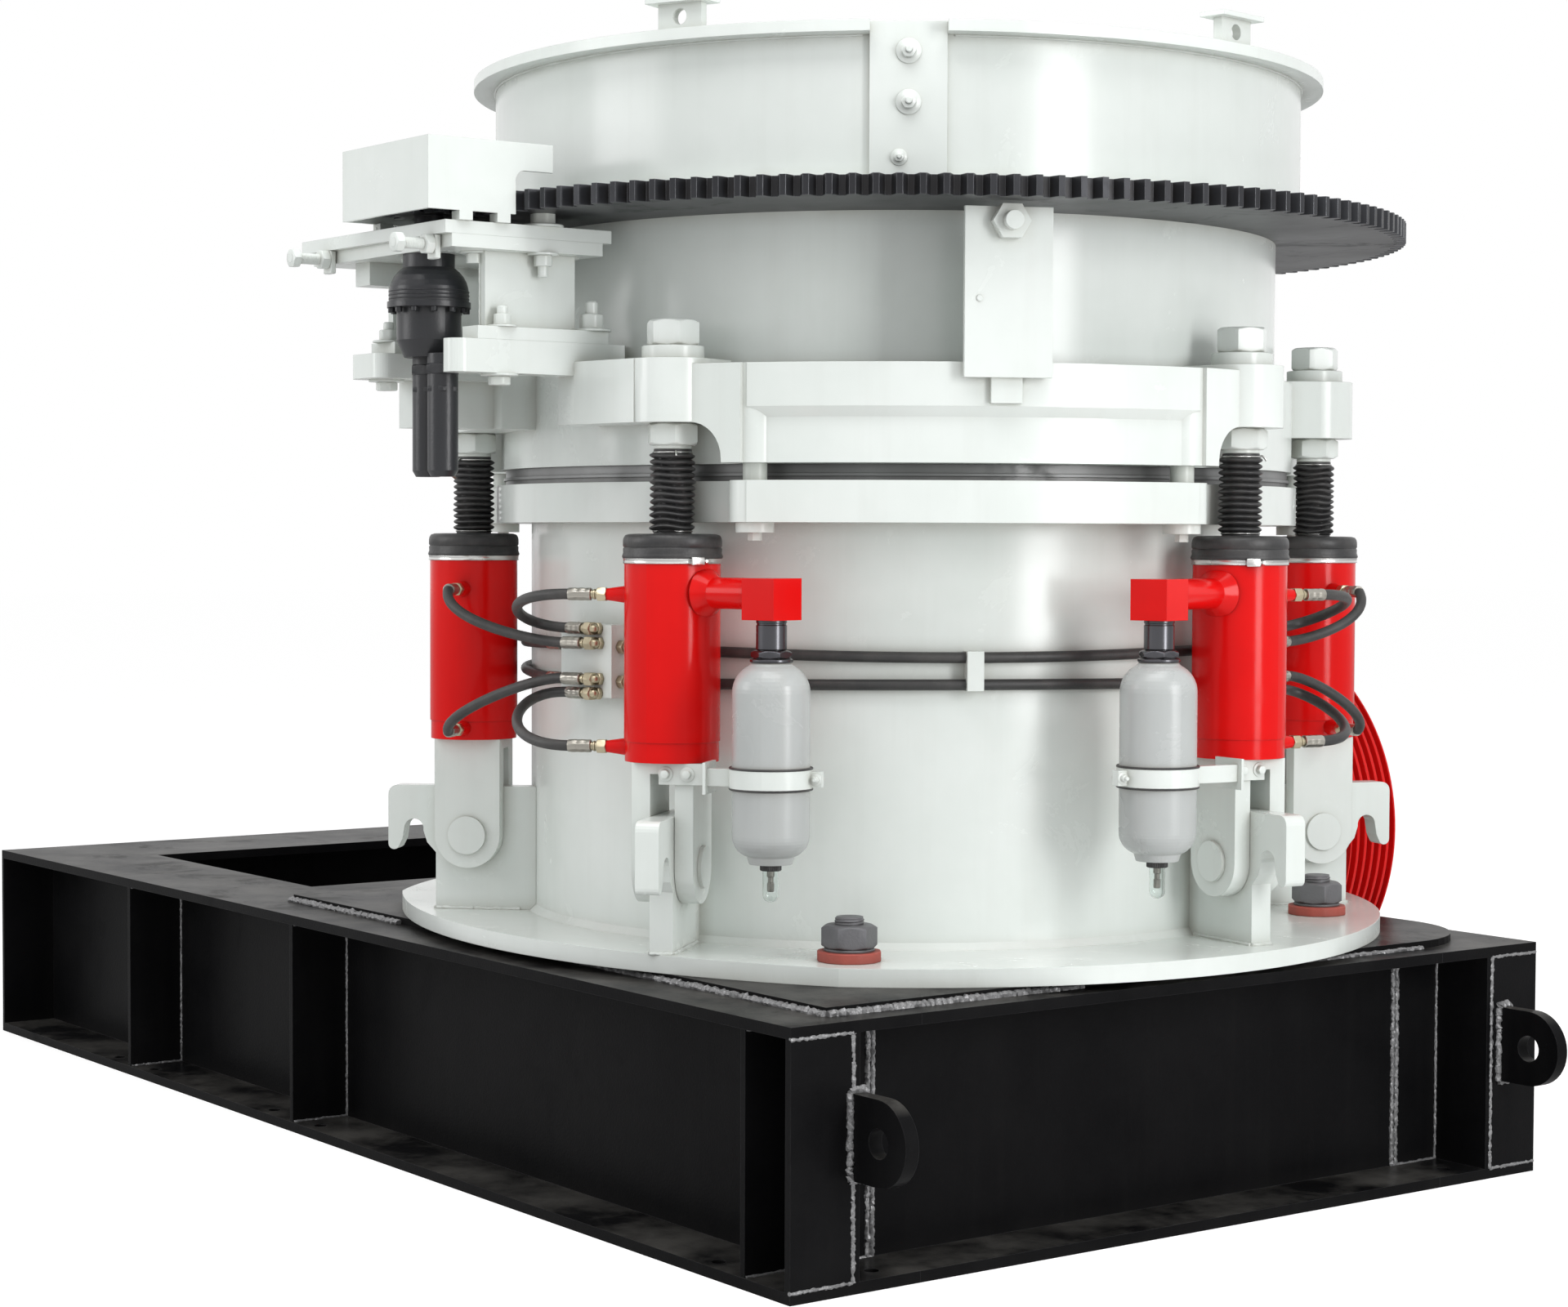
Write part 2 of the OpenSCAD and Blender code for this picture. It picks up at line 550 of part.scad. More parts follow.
// hose lying round the barrel at height z and sagging by dz, between the side fittings of two pairs; p and q are
// the angles of the pairs, yp and yq the places of the fittings' ends across each of them
module barrel_hose(p, yp, q, yq, z, dz) {
  n = 26; r = barrel_r + hose_r + 2; bend = 4;
  a0 = p + atan2(yp, side_x); a1 = q + atan2(yq, side_x);
  r0 = norm([side_x, yp]); r1 = norm([side_x, yq]);
  pts = [for (i = [0:n]) let (t = i/n, a = a0 + (a1 - a0)*t, e = min(i, n - i), out = (i < n/2 ? r0 : r1) - r,
    w = r + out*pow(max(0, 1 - e/bend), 1.5)) [w*cos(a), w*sin(a), z - dz*sin(180*t)]];
  swept(pts, [dir(p + 90), dir(q + 90)], [for (i = [0:n]) [0, 0, 1]], hose_r);
}
module ring_hoses() {
  far = block_y[1] + fit_l; near = fit_l - block_y[0];
  color(c_dark) at_crusher() for (z = [hose_z1, hose_z0]) {
    dz = z == hose_z1 ? 11 : -7;
    barrel_hose(pair_a, far, pair_a + 120, -far, z, dz);
    barrel_hose(pair_a + 120, near, pair_a + 240, -near, z, dz);
    barrel_hose(pair_a + 240, far, pair_a + 360, -near, z, dz);
  }
}
module hose_clips() {
  color(c_white) at_crusher() polar(barrel_r, -27.2) difference() {
    box([-4, -17, 1073], [34, 17, 1152]);
    for (z = [hose_z1 - 11, hose_z0 + 7]) translate([13, -40, z]) rotate([-90, 0, 0]) cylinder(r = hose_r + 0.6, h = 80);
    translate([-barrel_r, 0, 1060]) cylinder(r = barrel_r, h = 120);
  }
}

// ---------------------------------------------------------------- adjustment ring

ring_r = 882;
step_z = 1631;
// arms that carry the drive: x, height and the y the deeper root begins at, seen from the crusher's axis
arms = [[130, 190, 1700, 1766, -972], [-245, -115, 1700, 1750, -1130]];
arm_in = -850;
arm_out = -1250;
module drive_arm(q) {
  r = 28;
  translate([0, 0, q[2]]) linear_extrude(q[3] - q[2]) polygon(concat([[q[0], arm_in]], arc(q[0] + r, arm_out + r, r, 180, 270),
    arc(q[1] - r, arm_out + r, r, 270, 360), [[q[1], arm_in]]));
}
module drive_arms() {
  for (q = arms) drive_arm(q);
  // deeper roots that run into the lugs of the two rods
  translate([0, 0, rod_lug_z[0]]) linear_extrude(rod_lug_z[1] - rod_lug_z[0])
    polygon([[arms[0][0], arms[0][4]], [arms[0][1], arms[0][4]], [375, -950], [375, -800], [arms[0][0], -845]]);
  translate([0, 0, rod_lug_z[0]]) linear_extrude(rod_lug_z[1] - rod_lug_z[0])
    polygon([[arms[1][1], -957], [arms[1][0], -957], [-429, -900], [-429, -800], [arms[1][1], -845]]);
  box([arms[1][0], arms[1][4], rod_lug_z[0]], [arms[1][0] + 95, arm_in, arms[1][2]]);
}
module adjustment_ring() {
  lug_r = 85; web_y1 = 182; arch_y = 138; chamfer = 16;
  fillet_r = 72;
  color(c_white) at_crusher() difference() {
    union() {
      translate([0, 0, ring_z0]) cylinder(r = ring_r, h = ring_z1 - ring_z0);
      for (l = lobes) rotate([0, 0, l[0]]) {
        // lobe with a step in its outer wall
        rotate([0, 0, -l[1]]) rotate_extrude(angle = 2*l[1]) polygon([[ring_r - 20, ring_z0], [lobe_r - chamfer, ring_z0],
          [lobe_r - chamfer, step_z - chamfer - 4], [lobe_r, step_z], [lobe_r, ring_z1], [ring_r - 20, ring_z1]]);
        for (s = [-1, 1]) polar(boss_c, s*l[1]) {
          translate([0, 0, ring_z0]) cylinder(r = boss_r, h = ring_z1 - ring_z0);
          box([ring_r - 20 - boss_c, -boss_r, ring_z0], [0, boss_r, ring_z1]);
        }
      }
      for (k = [0:2], s = [-1, 1]) rotate([0, 0, pair_angles[k] + s*half_a(k, s)]) {
        box([ring_r - 20, -lug_r, rod_lug_z[0]], [cyl_r, lug_r, rod_lug_z[1]]);
        translate([cyl_r, 0, rod_lug_z[0]]) cylinder(r = lug_r, h = rod_lug_z[1] - rod_lug_z[0]);
        // web from the lug to the lobe, with an arch under it
        translate([ring_r - 20, 0, 0]) rotate([90, 0, 90]) linear_extrude(990 - ring_r + 20) scale([s, 1])
          polygon(concat([[0, ring_z1], [0, rod_lug_z[0]]], arc(arch_y - fillet_r, rod_lug_z[0] - fillet_r, fillet_r, 90, 0, 8),
            [[arch_y, ring_z0], [web_y1, ring_z0], [web_y1, ring_z1]]));
      }
      drive_arms();
      // pads the gear brackets are bolted to
      for (a = bracket_angles) rotate([0, 0, a]) box([lobe_r - 10, -31, step_z + 5], [bracket_r, 31, ring_z1]);
    }
    translate([0, 0, ring_z0 - 1]) cylinder(r = bowl_r + gap, h = 400);
    for (a = cyl_angles) polar(cyl_r, a) translate([0, 0, 1500]) cylinder(r = rod_r, h = 400);
  }
}
module seal_ring() {
  color(c_grey) at_crusher() translate([0, 0, flange_top + 0.02]) difference() {
    union() {
      cylinder(r = 872, h = ring_z0 - flange_top - 0.04);
      translate([0, 0, 10]) cylinder(r = 877, h = 6);
    }
    translate([0, 0, -1]) cylinder(r = 856, h = 60);
  }
}
module guide_pins() {
  washer_t = 20; head_t = 16; pin_guide_r = 24;
  color(c_white) at_crusher() for (l = lobes, s = [-1, 1]) polar(boss_c, l[0] + s*l[1]) {
    translate([0, 0, flange_z - washer_t]) cylinder(r = 38, h = washer_t);
    translate([0, 0, flange_z - washer_t - head_t]) cylinder(r = 14, h = head_t, $fn = hex);
    translate([0, 0, flange_top]) cylinder(r = pin_guide_r, h = ring_z0 - flange_top);
  }
}

// upright plates on the ring that keep the gear from lifting, a third of a turn apart
bracket_angles = [for (i = [0:2]) drive_a + 64 + 120*i];
bracket_r = 1012;
bracket_z = [1685, 2012];
module gear_brackets() {
  w = 174; t = 11; nut_r = 37.5; stud_z = 1983; post = 107;
  color(c_white) at_crusher() for (a = bracket_angles) polar(bracket_r, a) {
    box([0, -w/2, bracket_z[0]], [t, w/2, bracket_z[1]]);
    // post that stands on the ring's lobe behind the plate
    box([-post, -31, ring_z1], [0, 31, 1960]);
    // nut with a flat side up, so that it clears the gear
    translate([t, 0, stud_z]) rotate([30, 0, 0]) rotate([0, 90, 0]) cylinder(r = nut_r, h = 24, $fn = hex);
    translate([-20, 0, stud_z]) rotate([0, 90, 0]) cylinder(r = 18, h = 64 + t);
  }
}

// ---------------------------------------------------------------- bowl, ring gear and hopper

// involute flank: half the tooth angle at radius r, for a tooth s thick on the pitch circle
pressure_a = 20;
function inv(a) = tan(a)*180/PI - a;
function half_angle(r, rp, s) = let (rb = rp*cos(pressure_a), q = max(r, rb))
  s/(2*rp)*180/PI + inv(pressure_a) - inv(acos(rb/q));
function gear_points(n, m, s, ra, rf, phase) = let (rp = n*m/2, rs = [rf, (rf + rp)/2, rp, (rp + ra)/2, ra])
  [for (k = [0:n - 1]) let (c = phase + 360*k/n) each concat(
    [for (r = rs) turned(r, c - half_angle(r, rp, s))],
    [for (i = [len(rs) - 1:-1:0]) turned(rs[i], c + half_angle(rs[i], rp, s))])];
tooth_s = PI*gear_m/2 - 1.5;
addendum = 11;
dedendum = 16;

module ring_gear() {
  color(c_dark) at_crusher() translate([0, 0, gear_z]) linear_extrude(gear_t) difference() {
    polygon(gear_points(gear_n, gear_m, tooth_s, pitch_r + addendum, pitch_r - dedendum, drive_a));
    circle(r = bowl_r);
  }
}
module bowl() {
  color(c_white) at_crusher() rotate_extrude() polygon([[600, gear_top], [bowl_r, gear_top], [bowl_r, 1580],
    [752, 1498], [745, 1300], [700, 1290], [700, 1330], [560, 1700], [560, 1900]]);
}
module bowl_liner() {
  color(c_iron) at_crusher() rotate_extrude() polygon([[700, 1330], [700, 1255], [668, 1255], [600, 1420],
    [520, 1640], [500, 1760], [500, 1900], [560, 1900], [560, 1700]]);
}
// two half shells joined by flat plates, where the rim flange is cut away
joint_a = -36.8;
joint_w = 152;
module hopper() {
  wall = 12; floor_t = 30; lip_t = 23; skirt_r = 937; skirt_t = 10;
  color(c_white) at_crusher() difference() {
    rotate_extrude() polygon([[600, gear_top], [skirt_r, gear_top], [skirt_r, gear_top + skirt_t], [hopper_r, gear_top + skirt_t],
      [hopper_r, hopper_z - lip_t], [rim_r, hopper_z - lip_t], [rim_r, hopper_z], [hopper_r - wall, hopper_z],
      [hopper_r - wall, gear_top + floor_t], [600, gear_top + floor_t]]);
    for (s = [0, 180]) rotate([0, 0, joint_a + s]) box([hopper_r - 3, -joint_w/2, gear_top - 1], [rim_r + 20, joint_w/2, hopper_z + 1]);
  }
}
module hopper_joints() {
  t = 10;
  color(c_white) at_crusher() for (s = [0, 180]) rotate([0, 0, joint_a + s])
    box([hopper_r - 3, -joint_w/2, gear_top], [hopper_r - 3 + t, joint_w/2, hopper_z + 2]);
}
// lifting lug: upright plate with a hole under a T-shaped top
module lifting_lugs() {
  h = 62; web_w = 100; web_t = 20; top_w = 138; top_d = 60; top_t = 10;
  color(c_white) at_crusher() for (a = [-66, 10, 114, 190]) polar((hopper_r + rim_r)/2 - 6, a) translate([0, 0, hopper_z]) {
    difference() {
      box([-web_t/2, -web_w/2, 0], [web_t/2, web_w/2, h - top_t]);
      translate([-web_t, 0, 26]) rotate([0, 90, 0]) cylinder(r = 16, h = 2*web_t);
    }
    box([-top_d/2, -top_w/2, h - top_t], [top_d/2, top_w/2, h]);
  }
}

// ---------------------------------------------------------------- crushing head

module crushing_head() {
  color(c_iron) at_crusher() rotate_extrude() polygon(concat([[0, 1138], [300, 1138], [600, 1180], [625, 1230], [560, 1400],
    [440, 1640], [330, 1800], [250, 1820]], arc(0, 1800, 110, 10, 90, 8)));
}

// ---------------------------------------------------------------- adjusting drive

shaft_r = 30;
motor_top = 1943;
table_z = [1943, 1969, 1995];
module at_drive() { at_crusher() translate([drive_x, drive_y, 0]) children(); }
module drive_pinion() {
  color(c_dark) at_drive() {
    translate([0, 0, gear_z - 2]) linear_extrude(gear_t + 4) polygon(gear_points(pinion_n, gear_m, tooth_s,
      pinion_r + addendum + 1, pinion_r - dedendum, drive_a + 180 + 180/pinion_n));
    translate([0, 0, motor_top - 28]) cylinder(r = shaft_r, h = gear_z - motor_top + 27);
  }
}
guard_x = [-150, 200];
guard_y = [-1312, -1028];
guard_z = [2013, 2155];
module gear_guard() {
  t = 8; notch_z = 2100; r = 20; leg = 30; notch_y = [-1122, -1114];
  color(c_white) at_crusher() {
    difference() {
      box([guard_x[0], guard_y[0], guard_z[0]], [guard_x[1], guard_y[1], guard_z[1]]);
      box([guard_x[0] + t, guard_y[0] + t, guard_z[0] - 1], [guard_x[1] - t, guard_y[1] + 1, guard_z[1] - t]);
      // the side walls are cut away over the gear
      for (i = [0, 1]) translate([guard_x[i] - 2*t, 0, 0]) rotate([90, 0, 90]) linear_extrude(4*t)
        polygon(concat([[notch_y[i], guard_z[0] - 1]], arc(notch_y[i] + r, notch_z - r, r, 180, 90, 6),
          [[guard_y[1] + 1, notch_z], [guard_y[1] + 1, guard_z[0] - 1]]));
    }
    for (x = [guard_x[0], guard_x[1] - leg], y = [guard_y[0] + 70, notch_y[0] - leg - 4])
      box([x, y, table_z[2]], [x + leg, y + leg, guard_z[0]]);
  }
}
// table that the guard stands on, and the plate under it on the pedestal's two legs
table_y = [-1268, -883];
shelf_y = [-1253, -904];
shaft_hole_r = shaft_r + 4;
module drive_table() {
  color(c_white) at_crusher() difference() {
    box([-415, table_y[0], table_z[1]], [arms[0][1], table_y[1], table_z[2]]);
    translate([drive_x, drive_y, table_z[1] - 1]) cylinder(r = shaft_hole_r, h = 60);
  }
}
module drive_pedestal() {
  wall = 20; foot_h = 26; wall_y = [-1155, -945]; foot_y = [-1195, -890];
  color(c_white) at_crusher() {
    difference() {
      box([-390, shelf_y[0], table_z[0]], [arms[0][1], shelf_y[1], table_z[1]]);
      translate([drive_x, drive_y, table_z[0] - 1]) cylinder(r = shaft_hole_r, h = 60);
    }
    // a leg on each arm: an upright wall on a foot
    for (q = [[arms[0][0], arms[0][1], arms[0][0], arms[0][3]], [arms[1][0], -145, arms[1][0], arms[1][3]]]) {
      box([q[0], foot_y[0], q[3]], [q[1], foot_y[1], q[3] + foot_h]);
      box([q[2], wall_y[0], q[3] + foot_h], [q[2] + wall, wall_y[1], table_z[0]]);
    }
    // block under the shelf beside the left leg
    box([-276, -1215, 1895], [-215, -1120, table_z[0]]);
  }
}
// blocks under the table's edge with the bolts that push the drive into mesh
module jack_bolts() {
  w = 34; t = 12; z0 = 1921; bolt_z = 1950; bolt_r = 12; head_r = 21; out = 85;
  color(c_white) at_crusher() for (x = [-302, 135]) translate([x, table_y[0], 0]) {
    box([-w/2, 0, z0], [w/2, t, table_z[1]]);
    translate([0, -out, bolt_z]) rotate([-90, 0, 0]) {
      cylinder(r = bolt_r, h = out + shelf_y[0] - table_y[0]);
      cylinder(r = head_r, h = 18, $fn = hex);
      translate([0, 0, out - 20]) cylinder(r = head_r, h = 20, $fn = hex);
    }
  }
}
module drive_motor() {
  tube_w = 31; tube_c = 30; tube_x = 25;
  color(c_dark) at_drive() difference() {
    union() {
      rotate_extrude() polygon(concat([[0, 1736], [50, 1736], [65, 1770], [65, 1835], [84, 1835], [84, 1847], [80, 1847]],
        arc(20, 1865, 60, 0, 90, 8), [[20, 1930], [0, 1930]]));
      for (s = [-1, 1]) translate([s*tube_c + tube_x, 0, 0]) rotate_extrude() polygon([[0, 1496], [24, 1496], [tube_w, 1508], [tube_w, 1742], [0, 1742]]);
      translate([0, 0, 1900]) cylinder(r = 52, h = motor_top - 1900);
    }
    translate([0, 0, motor_top - 36]) cylinder(r = shaft_r + run, h = 40);
  }
}

// ---------------------------------------------------------------- countershaft and sheave

sheave_y0 = 1013;
sheave_w = 150;
module countershaft_bearing() {
  y = 985; t = 20; flange = 135; bolt_c = 112;
  color(c_white) at_crusher() translate([0, y, shaft_z]) rotate([-90, 0, 0]) difference() {
    union() {
      cylinder(r = flange, h = t);
      for (a = [0:60:300]) rotate([0, 0, a + 30]) translate([bolt_c, 0, t]) cylinder(r = 13, h = 6, $fn = hex);
    }
    translate([0, 0, -1]) cylinder(r = 60 + run, h = t + 2);
  }
}
// grooved rim, dished web with round openings, and hub on the countershaft
module sheave() {
  pitch = sheave_w/belt_n; land = 4; groove_d = 16; rim_t = 50; hub_r = 120; shaft_l = 400;
  color(c_red) at_crusher() translate([0, sheave_y0, shaft_z]) rotate([-90, 0, 0]) {
    difference() {
      rotate_extrude() polygon(concat([[0, 0], [sheave_r, 0]],
        [for (i = [0:belt_n - 1]) each let (b = pitch*i) [[sheave_r, b + land], [sheave_r - groove_d, b + 2.3*land],
          [sheave_r - groove_d, b + pitch - 2.3*land], [sheave_r, b + pitch - land]]],
        [[sheave_r, sheave_w], [0, sheave_w]]));
      translate([0, 0, 40]) difference() {
        cylinder(r = sheave_r - rim_t, h = sheave_w);
        cylinder(r = hub_r, h = sheave_w);
      }
      for (a = [0:60:300]) rotate([0, 0, a]) translate([260, 0, -1]) cylinder(r = 70, h = sheave_w);
    }
    translate([0, 0, -shaft_l]) cylinder(r = 60, h = shaft_l);
    // collar and cap on the outer end
    translate([0, 0, sheave_w]) cylinder(r = 78, h = 12);
  }
}

side_beams();
cross_beams();
closing_plate();
bed_plate();
tow_lugs();
main_frame();
lug_plates();
anchor_washers();
anchor_bolts();
clevises();
clevis_pins();
cylinder_tubes();
boot_clamps();
dust_boots();
rod_bellows();
rod_nuts();
oil_elbows();
accumulator_bottles();
accumulator_fittings();
charging_valves();
accumulator_clamps();
manifold_blocks();
hose_fittings();
hydraulic_hoses();
ring_hoses();
hose_clips();
adjustment_ring();
seal_ring();
guide_pins();
gear_brackets();
ring_gear();
bowl();
bowl_liner();
hopper();
hopper_joints();
lifting_lugs();
crushing_head();
drive_pinion();
gear_guard();
drive_table();
drive_pedestal();
jack_bolts();
drive_motor();
countershaft_bearing();
sheave();
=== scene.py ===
"""Multi-cylinder cone crusher on its welded steel base: looks, small parts and studio."""
import math

import bmesh
import bpy
import numpy as np
from mathutils import Matrix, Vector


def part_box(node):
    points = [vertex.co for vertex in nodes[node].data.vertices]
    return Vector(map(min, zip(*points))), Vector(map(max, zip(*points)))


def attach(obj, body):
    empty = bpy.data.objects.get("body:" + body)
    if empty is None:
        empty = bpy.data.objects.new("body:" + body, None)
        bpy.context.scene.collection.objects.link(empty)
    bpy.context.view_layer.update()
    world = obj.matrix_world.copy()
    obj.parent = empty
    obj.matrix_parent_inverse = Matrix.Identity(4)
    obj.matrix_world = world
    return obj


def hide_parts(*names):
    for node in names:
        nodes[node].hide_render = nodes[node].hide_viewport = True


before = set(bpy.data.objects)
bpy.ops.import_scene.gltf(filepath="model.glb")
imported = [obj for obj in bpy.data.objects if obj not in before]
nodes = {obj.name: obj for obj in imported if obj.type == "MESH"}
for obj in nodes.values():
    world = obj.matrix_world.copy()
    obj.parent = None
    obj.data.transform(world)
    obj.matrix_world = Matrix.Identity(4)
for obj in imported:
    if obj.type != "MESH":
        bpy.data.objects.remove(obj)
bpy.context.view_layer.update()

# ------------------------------------------------------------------ studio
# A plain white room: pale floor, a white surround, one tall soft light on the crusher's end
# of the base, a weaker one on its long side and a broad one overhead.
scene = bpy.context.scene
scene.view_settings.view_transform = "Standard"


def link(obj):
    """Puts an object in the scene and gives it back."""
    scene.collection.objects.link(obj)
    return obj


class Shade:
    """One node tree under construction: adds nodes, sets their inputs and joins them in one call."""

    def __init__(self, tree):
        self.tree = tree

    def new(self, kind, inputs=None, **settings):
        """Adds a node. An input is a value, or an output socket to join to it."""
        node = self.tree.nodes.new("ShaderNode" + kind)
        for key, value in settings.items():
            setattr(node, key, value)
        for key, value in (inputs or {}).items():
            if isinstance(value, bpy.types.NodeSocket):
                self.tree.links.new(value, node.inputs[key])
            else:
                node.inputs[key].default_value = value
        return node

    def use(self, name, **inputs):
        """Adds a node group with its own values."""
        return self.new("Group", inputs, node_tree=bpy.data.node_groups[name]).outputs

    def math(self, operation, a, b=0.0, c=0.0, clamp=False):
        node = self.new("Math", {0: a, 1: b, 2: c}, operation=operation, use_clamp=clamp)
        return node.outputs[0]

    def mix(self, factor, a, b, blend="MIX"):
        """Mixes two colours; a colour is three numbers or a socket."""
        a, b = ((*colour, 1.0) if isinstance(colour, tuple) else colour for colour in (a, b))
        return self.new("Mix", {0: factor, 6: a, 7: b}, data_type="RGBA", blend_type=blend).outputs[2]

    def ramp(self, value, low, high, to_low=0.0, to_high=1.0):
        """Maps a value from low..high to to_low..to_high, clamped."""
        node = self.new("MapRange", {"Value": value, "From Min": low, "From Max": high,
                                     "To Min": to_low, "To Max": to_high})
        return node.outputs[0]

    def noise(self, vector, scale, detail=3.0, roughness=0.5, distortion=0.0):
        node = self.new("TexNoise", {"Vector": vector, "Scale": scale, "Detail": detail,
                                     "Roughness": roughness, "Distortion": distortion})
        return node.outputs["Fac"]

    def stretch(self, vector, scale):
        """Scales a vector unevenly, to draw a pattern out along one axis."""
        return self.new("Mapping", {"Vector": vector, "Scale": scale}).outputs[0]


def start_tree(owner):
    """Empties a material's or the world's node tree and opens it."""
    owner.use_nodes = True
    owner.node_tree.nodes.clear()
    return owner, Shade(owner.node_tree)


def start_material(name):
    return start_tree(bpy.data.materials.new(name))


def build_world():
    """White for the eye and for reflections, dimmer as ambient light."""
    ambient = 0.62
    world, s = start_tree(bpy.data.worlds.new("white_room"))
    path = s.new("LightPath")
    seen = s.math("MAXIMUM", path.outputs["Is Camera Ray"],
                  s.math("MAXIMUM", path.outputs["Is Glossy Ray"], path.outputs["Is Transmission Ray"]))
    strength = s.math("MULTIPLY_ADD", seen, 1.0 - ambient, ambient)
    back = s.new("Background", {"Color": (1.0, 1.0, 1.0, 1.0), "Strength": strength})
    s.new("OutputWorld", {"Surface": back.outputs[0]})
    scene.world = world


def build_floor():
    """Flat sheet far wider than the crusher; it shows nearly white and keeps the soft shadow."""
    half, grey, lift_seen = 60.0, 0.80, 0.50
    mesh = bpy.data.meshes.new("studio_floor")
    corner_points = [(x * half, y * half, 0) for x, y in ((-1, -1), (1, -1), (1, 1), (-1, 1))]
    mesh.from_pydata(corner_points, [], [(0, 1, 2, 3)])
    mat, s = start_material("studio_floor")
    lift = s.math("MULTIPLY", s.new("LightPath").outputs["Is Camera Ray"], lift_seen)
    diffuse = s.new("BsdfDiffuse", {"Color": (grey, grey, grey, 1.0)})
    glow = s.new("Emission", {"Color": (1.0, 1.0, 1.0, 1.0), "Strength": lift})
    both = s.new("AddShader", {0: diffuse.outputs[0], 1: glow.outputs[0]})
    s.new("OutputMaterial", {"Surface": both.outputs[0]})
    mesh.materials.append(mat)
    link(bpy.data.objects.new("studio_floor", mesh))


def stand(obj, place, side, up, back):
    """Puts an object in the scene at a place, with its own X, Y and Z along the three directions."""
    link(obj).matrix_world = Matrix([[side[k], up[k], back[k], place[k]] for k in range(3)] + [[0, 0, 0, 1]])


def build_light(name, place, target, size, power):
    """One rectangular soft light that faces its target."""
    lamp = bpy.data.lights.new(name, "AREA")
    lamp.shape = "RECTANGLE"
    lamp.size, lamp.size_y = size
    lamp.energy = power
    back = np.subtract(place, target)
    back /= np.linalg.norm(back)
    side = np.cross((0.0, 0.0, 1.0), back)
    side /= np.linalg.norm(side)
    stand(bpy.data.objects.new(name, lamp), place, side, np.cross(back, side), back)


def build_camera():
    """Eye at chest height off the crusher's near corner, turned and tipped as a hand-held camera."""
    place = (6.1585, -4.1828, 1.3787)
    yaw, pitch, roll = 0.939, 0.0388, 0.0038
    lens, sensor = 69.30, 36.0
    ahead = np.array([-math.sin(yaw) * math.cos(pitch), math.cos(yaw) * math.cos(pitch), -math.sin(pitch)])
    level = np.array([math.cos(yaw), math.sin(yaw), 0.0])
    down = np.cross(ahead, level)
    right = math.cos(roll) * level - math.sin(roll) * down
    down = math.sin(roll) * level + math.cos(roll) * down
    data = bpy.data.cameras.new("camera")
    data.lens, data.sensor_width, data.sensor_fit = lens, sensor, "HORIZONTAL"
    data.clip_start, data.clip_end = 0.1, 200.0
    scene.camera = bpy.data.objects.new("camera", data)
    stand(scene.camera, place, right, -down, -ahead)


build_world()
build_floor()
build_camera()
for name, place, target_x, size, power in (("end_light", (6.4, 0.4, 2.2), 0.8, (1.3, 3.2), 118.0),
                                           ("side_light", (-1.5, -5.5, 2.8), 0.6, (2.4, 2.6), 58.0),
                                           ("top_light", (2.0, -1.3, 5.6), 0.8, (4.0, 4.0), 170.0)):
    build_light(name, place, (target_x, 0.0, 1.2), size, power)

# ------------------------------------------------------------------ paint and metal finishes
# The frame is sprayed with a glossy white enamel over steel and castings, the cylinders red and the
# base satin black. Paint thins on edges and shows the surface below it; its corners darken with painted shade
# tinted like dirt.


def group(name, inputs, outputs):
    """Starts a shader node group with named inputs and outputs; gives its Shade, inputs and end node."""
    tree = bpy.data.node_groups.new(name, "ShaderNodeTree")
    kinds = {"f": "NodeSocketFloat", "c": "NodeSocketColor", "v": "NodeSocketVector"}
    for key, (kind, value) in inputs.items():
        socket = tree.interface.new_socket(key, in_out="INPUT", socket_type=kinds[kind])
        socket.default_value = value
    for key, kind in outputs.items():
        tree.interface.new_socket(key, in_out="OUTPUT", socket_type=kinds[kind])
    s = Shade(tree)
    start = tree.nodes.new("NodeGroupInput")
    end = tree.nodes.new("NodeGroupOutput")
    return s, start.outputs, lambda key, value: tree.links.new(value, end.inputs[key])


def build_edge_group():
    """Edges: the angle between the flat normal and one rounded over a small radius."""
    s, given, give = group("soft_edges", {"Radius": ("f", 0.002), "Breakup": ("f", 0.5)},
                           {"Mask": "f", "Normal": "v"})
    rounded = s.new("Bevel", {"Radius": given["Radius"]}, samples=4)
    flat = s.new("NewGeometry").outputs["Normal"]
    same = s.new("VectorMath", {0: rounded.outputs[0], 1: flat}, operation="DOT_PRODUCT").outputs["Value"]
    edge = s.ramp(s.math("SUBTRACT", 1.0, same), 0.02, 0.22)
    place = s.new("TexCoord").outputs["Object"]
    worn = s.ramp(s.noise(place, 38.0, 6.0, 0.65), 0.42, 0.62)
    cut = s.math("MULTIPLY_ADD", s.math("SUBTRACT", worn, 1.0), given["Breakup"], 1.0)
    give("Mask", s.math("MULTIPLY", edge, cut, clamp=True))
    give("Normal", rounded.outputs[0])


def build_crevice_group():
    """Crevices: how much of the surface's near sky is hidden, broken up by noise; the mask for painted shade
    in corners.
    """
    s, given, give = group("crevices", {"Reach": ("f", 0.04)}, {"Mask": "f"})
    near = s.new("AmbientOcclusion", {"Distance": given["Reach"]}, samples=6)
    place = s.new("TexCoord").outputs["Object"]
    cloud = s.ramp(s.noise(place, 9.0, 4.0, 0.6), 0.3, 0.7, 0.6, 1.0)
    hidden = s.ramp(near.outputs["AO"], 0.35, 0.95, 1.0, 0.0)
    give("Mask", s.math("MULTIPLY", hidden, cloud))


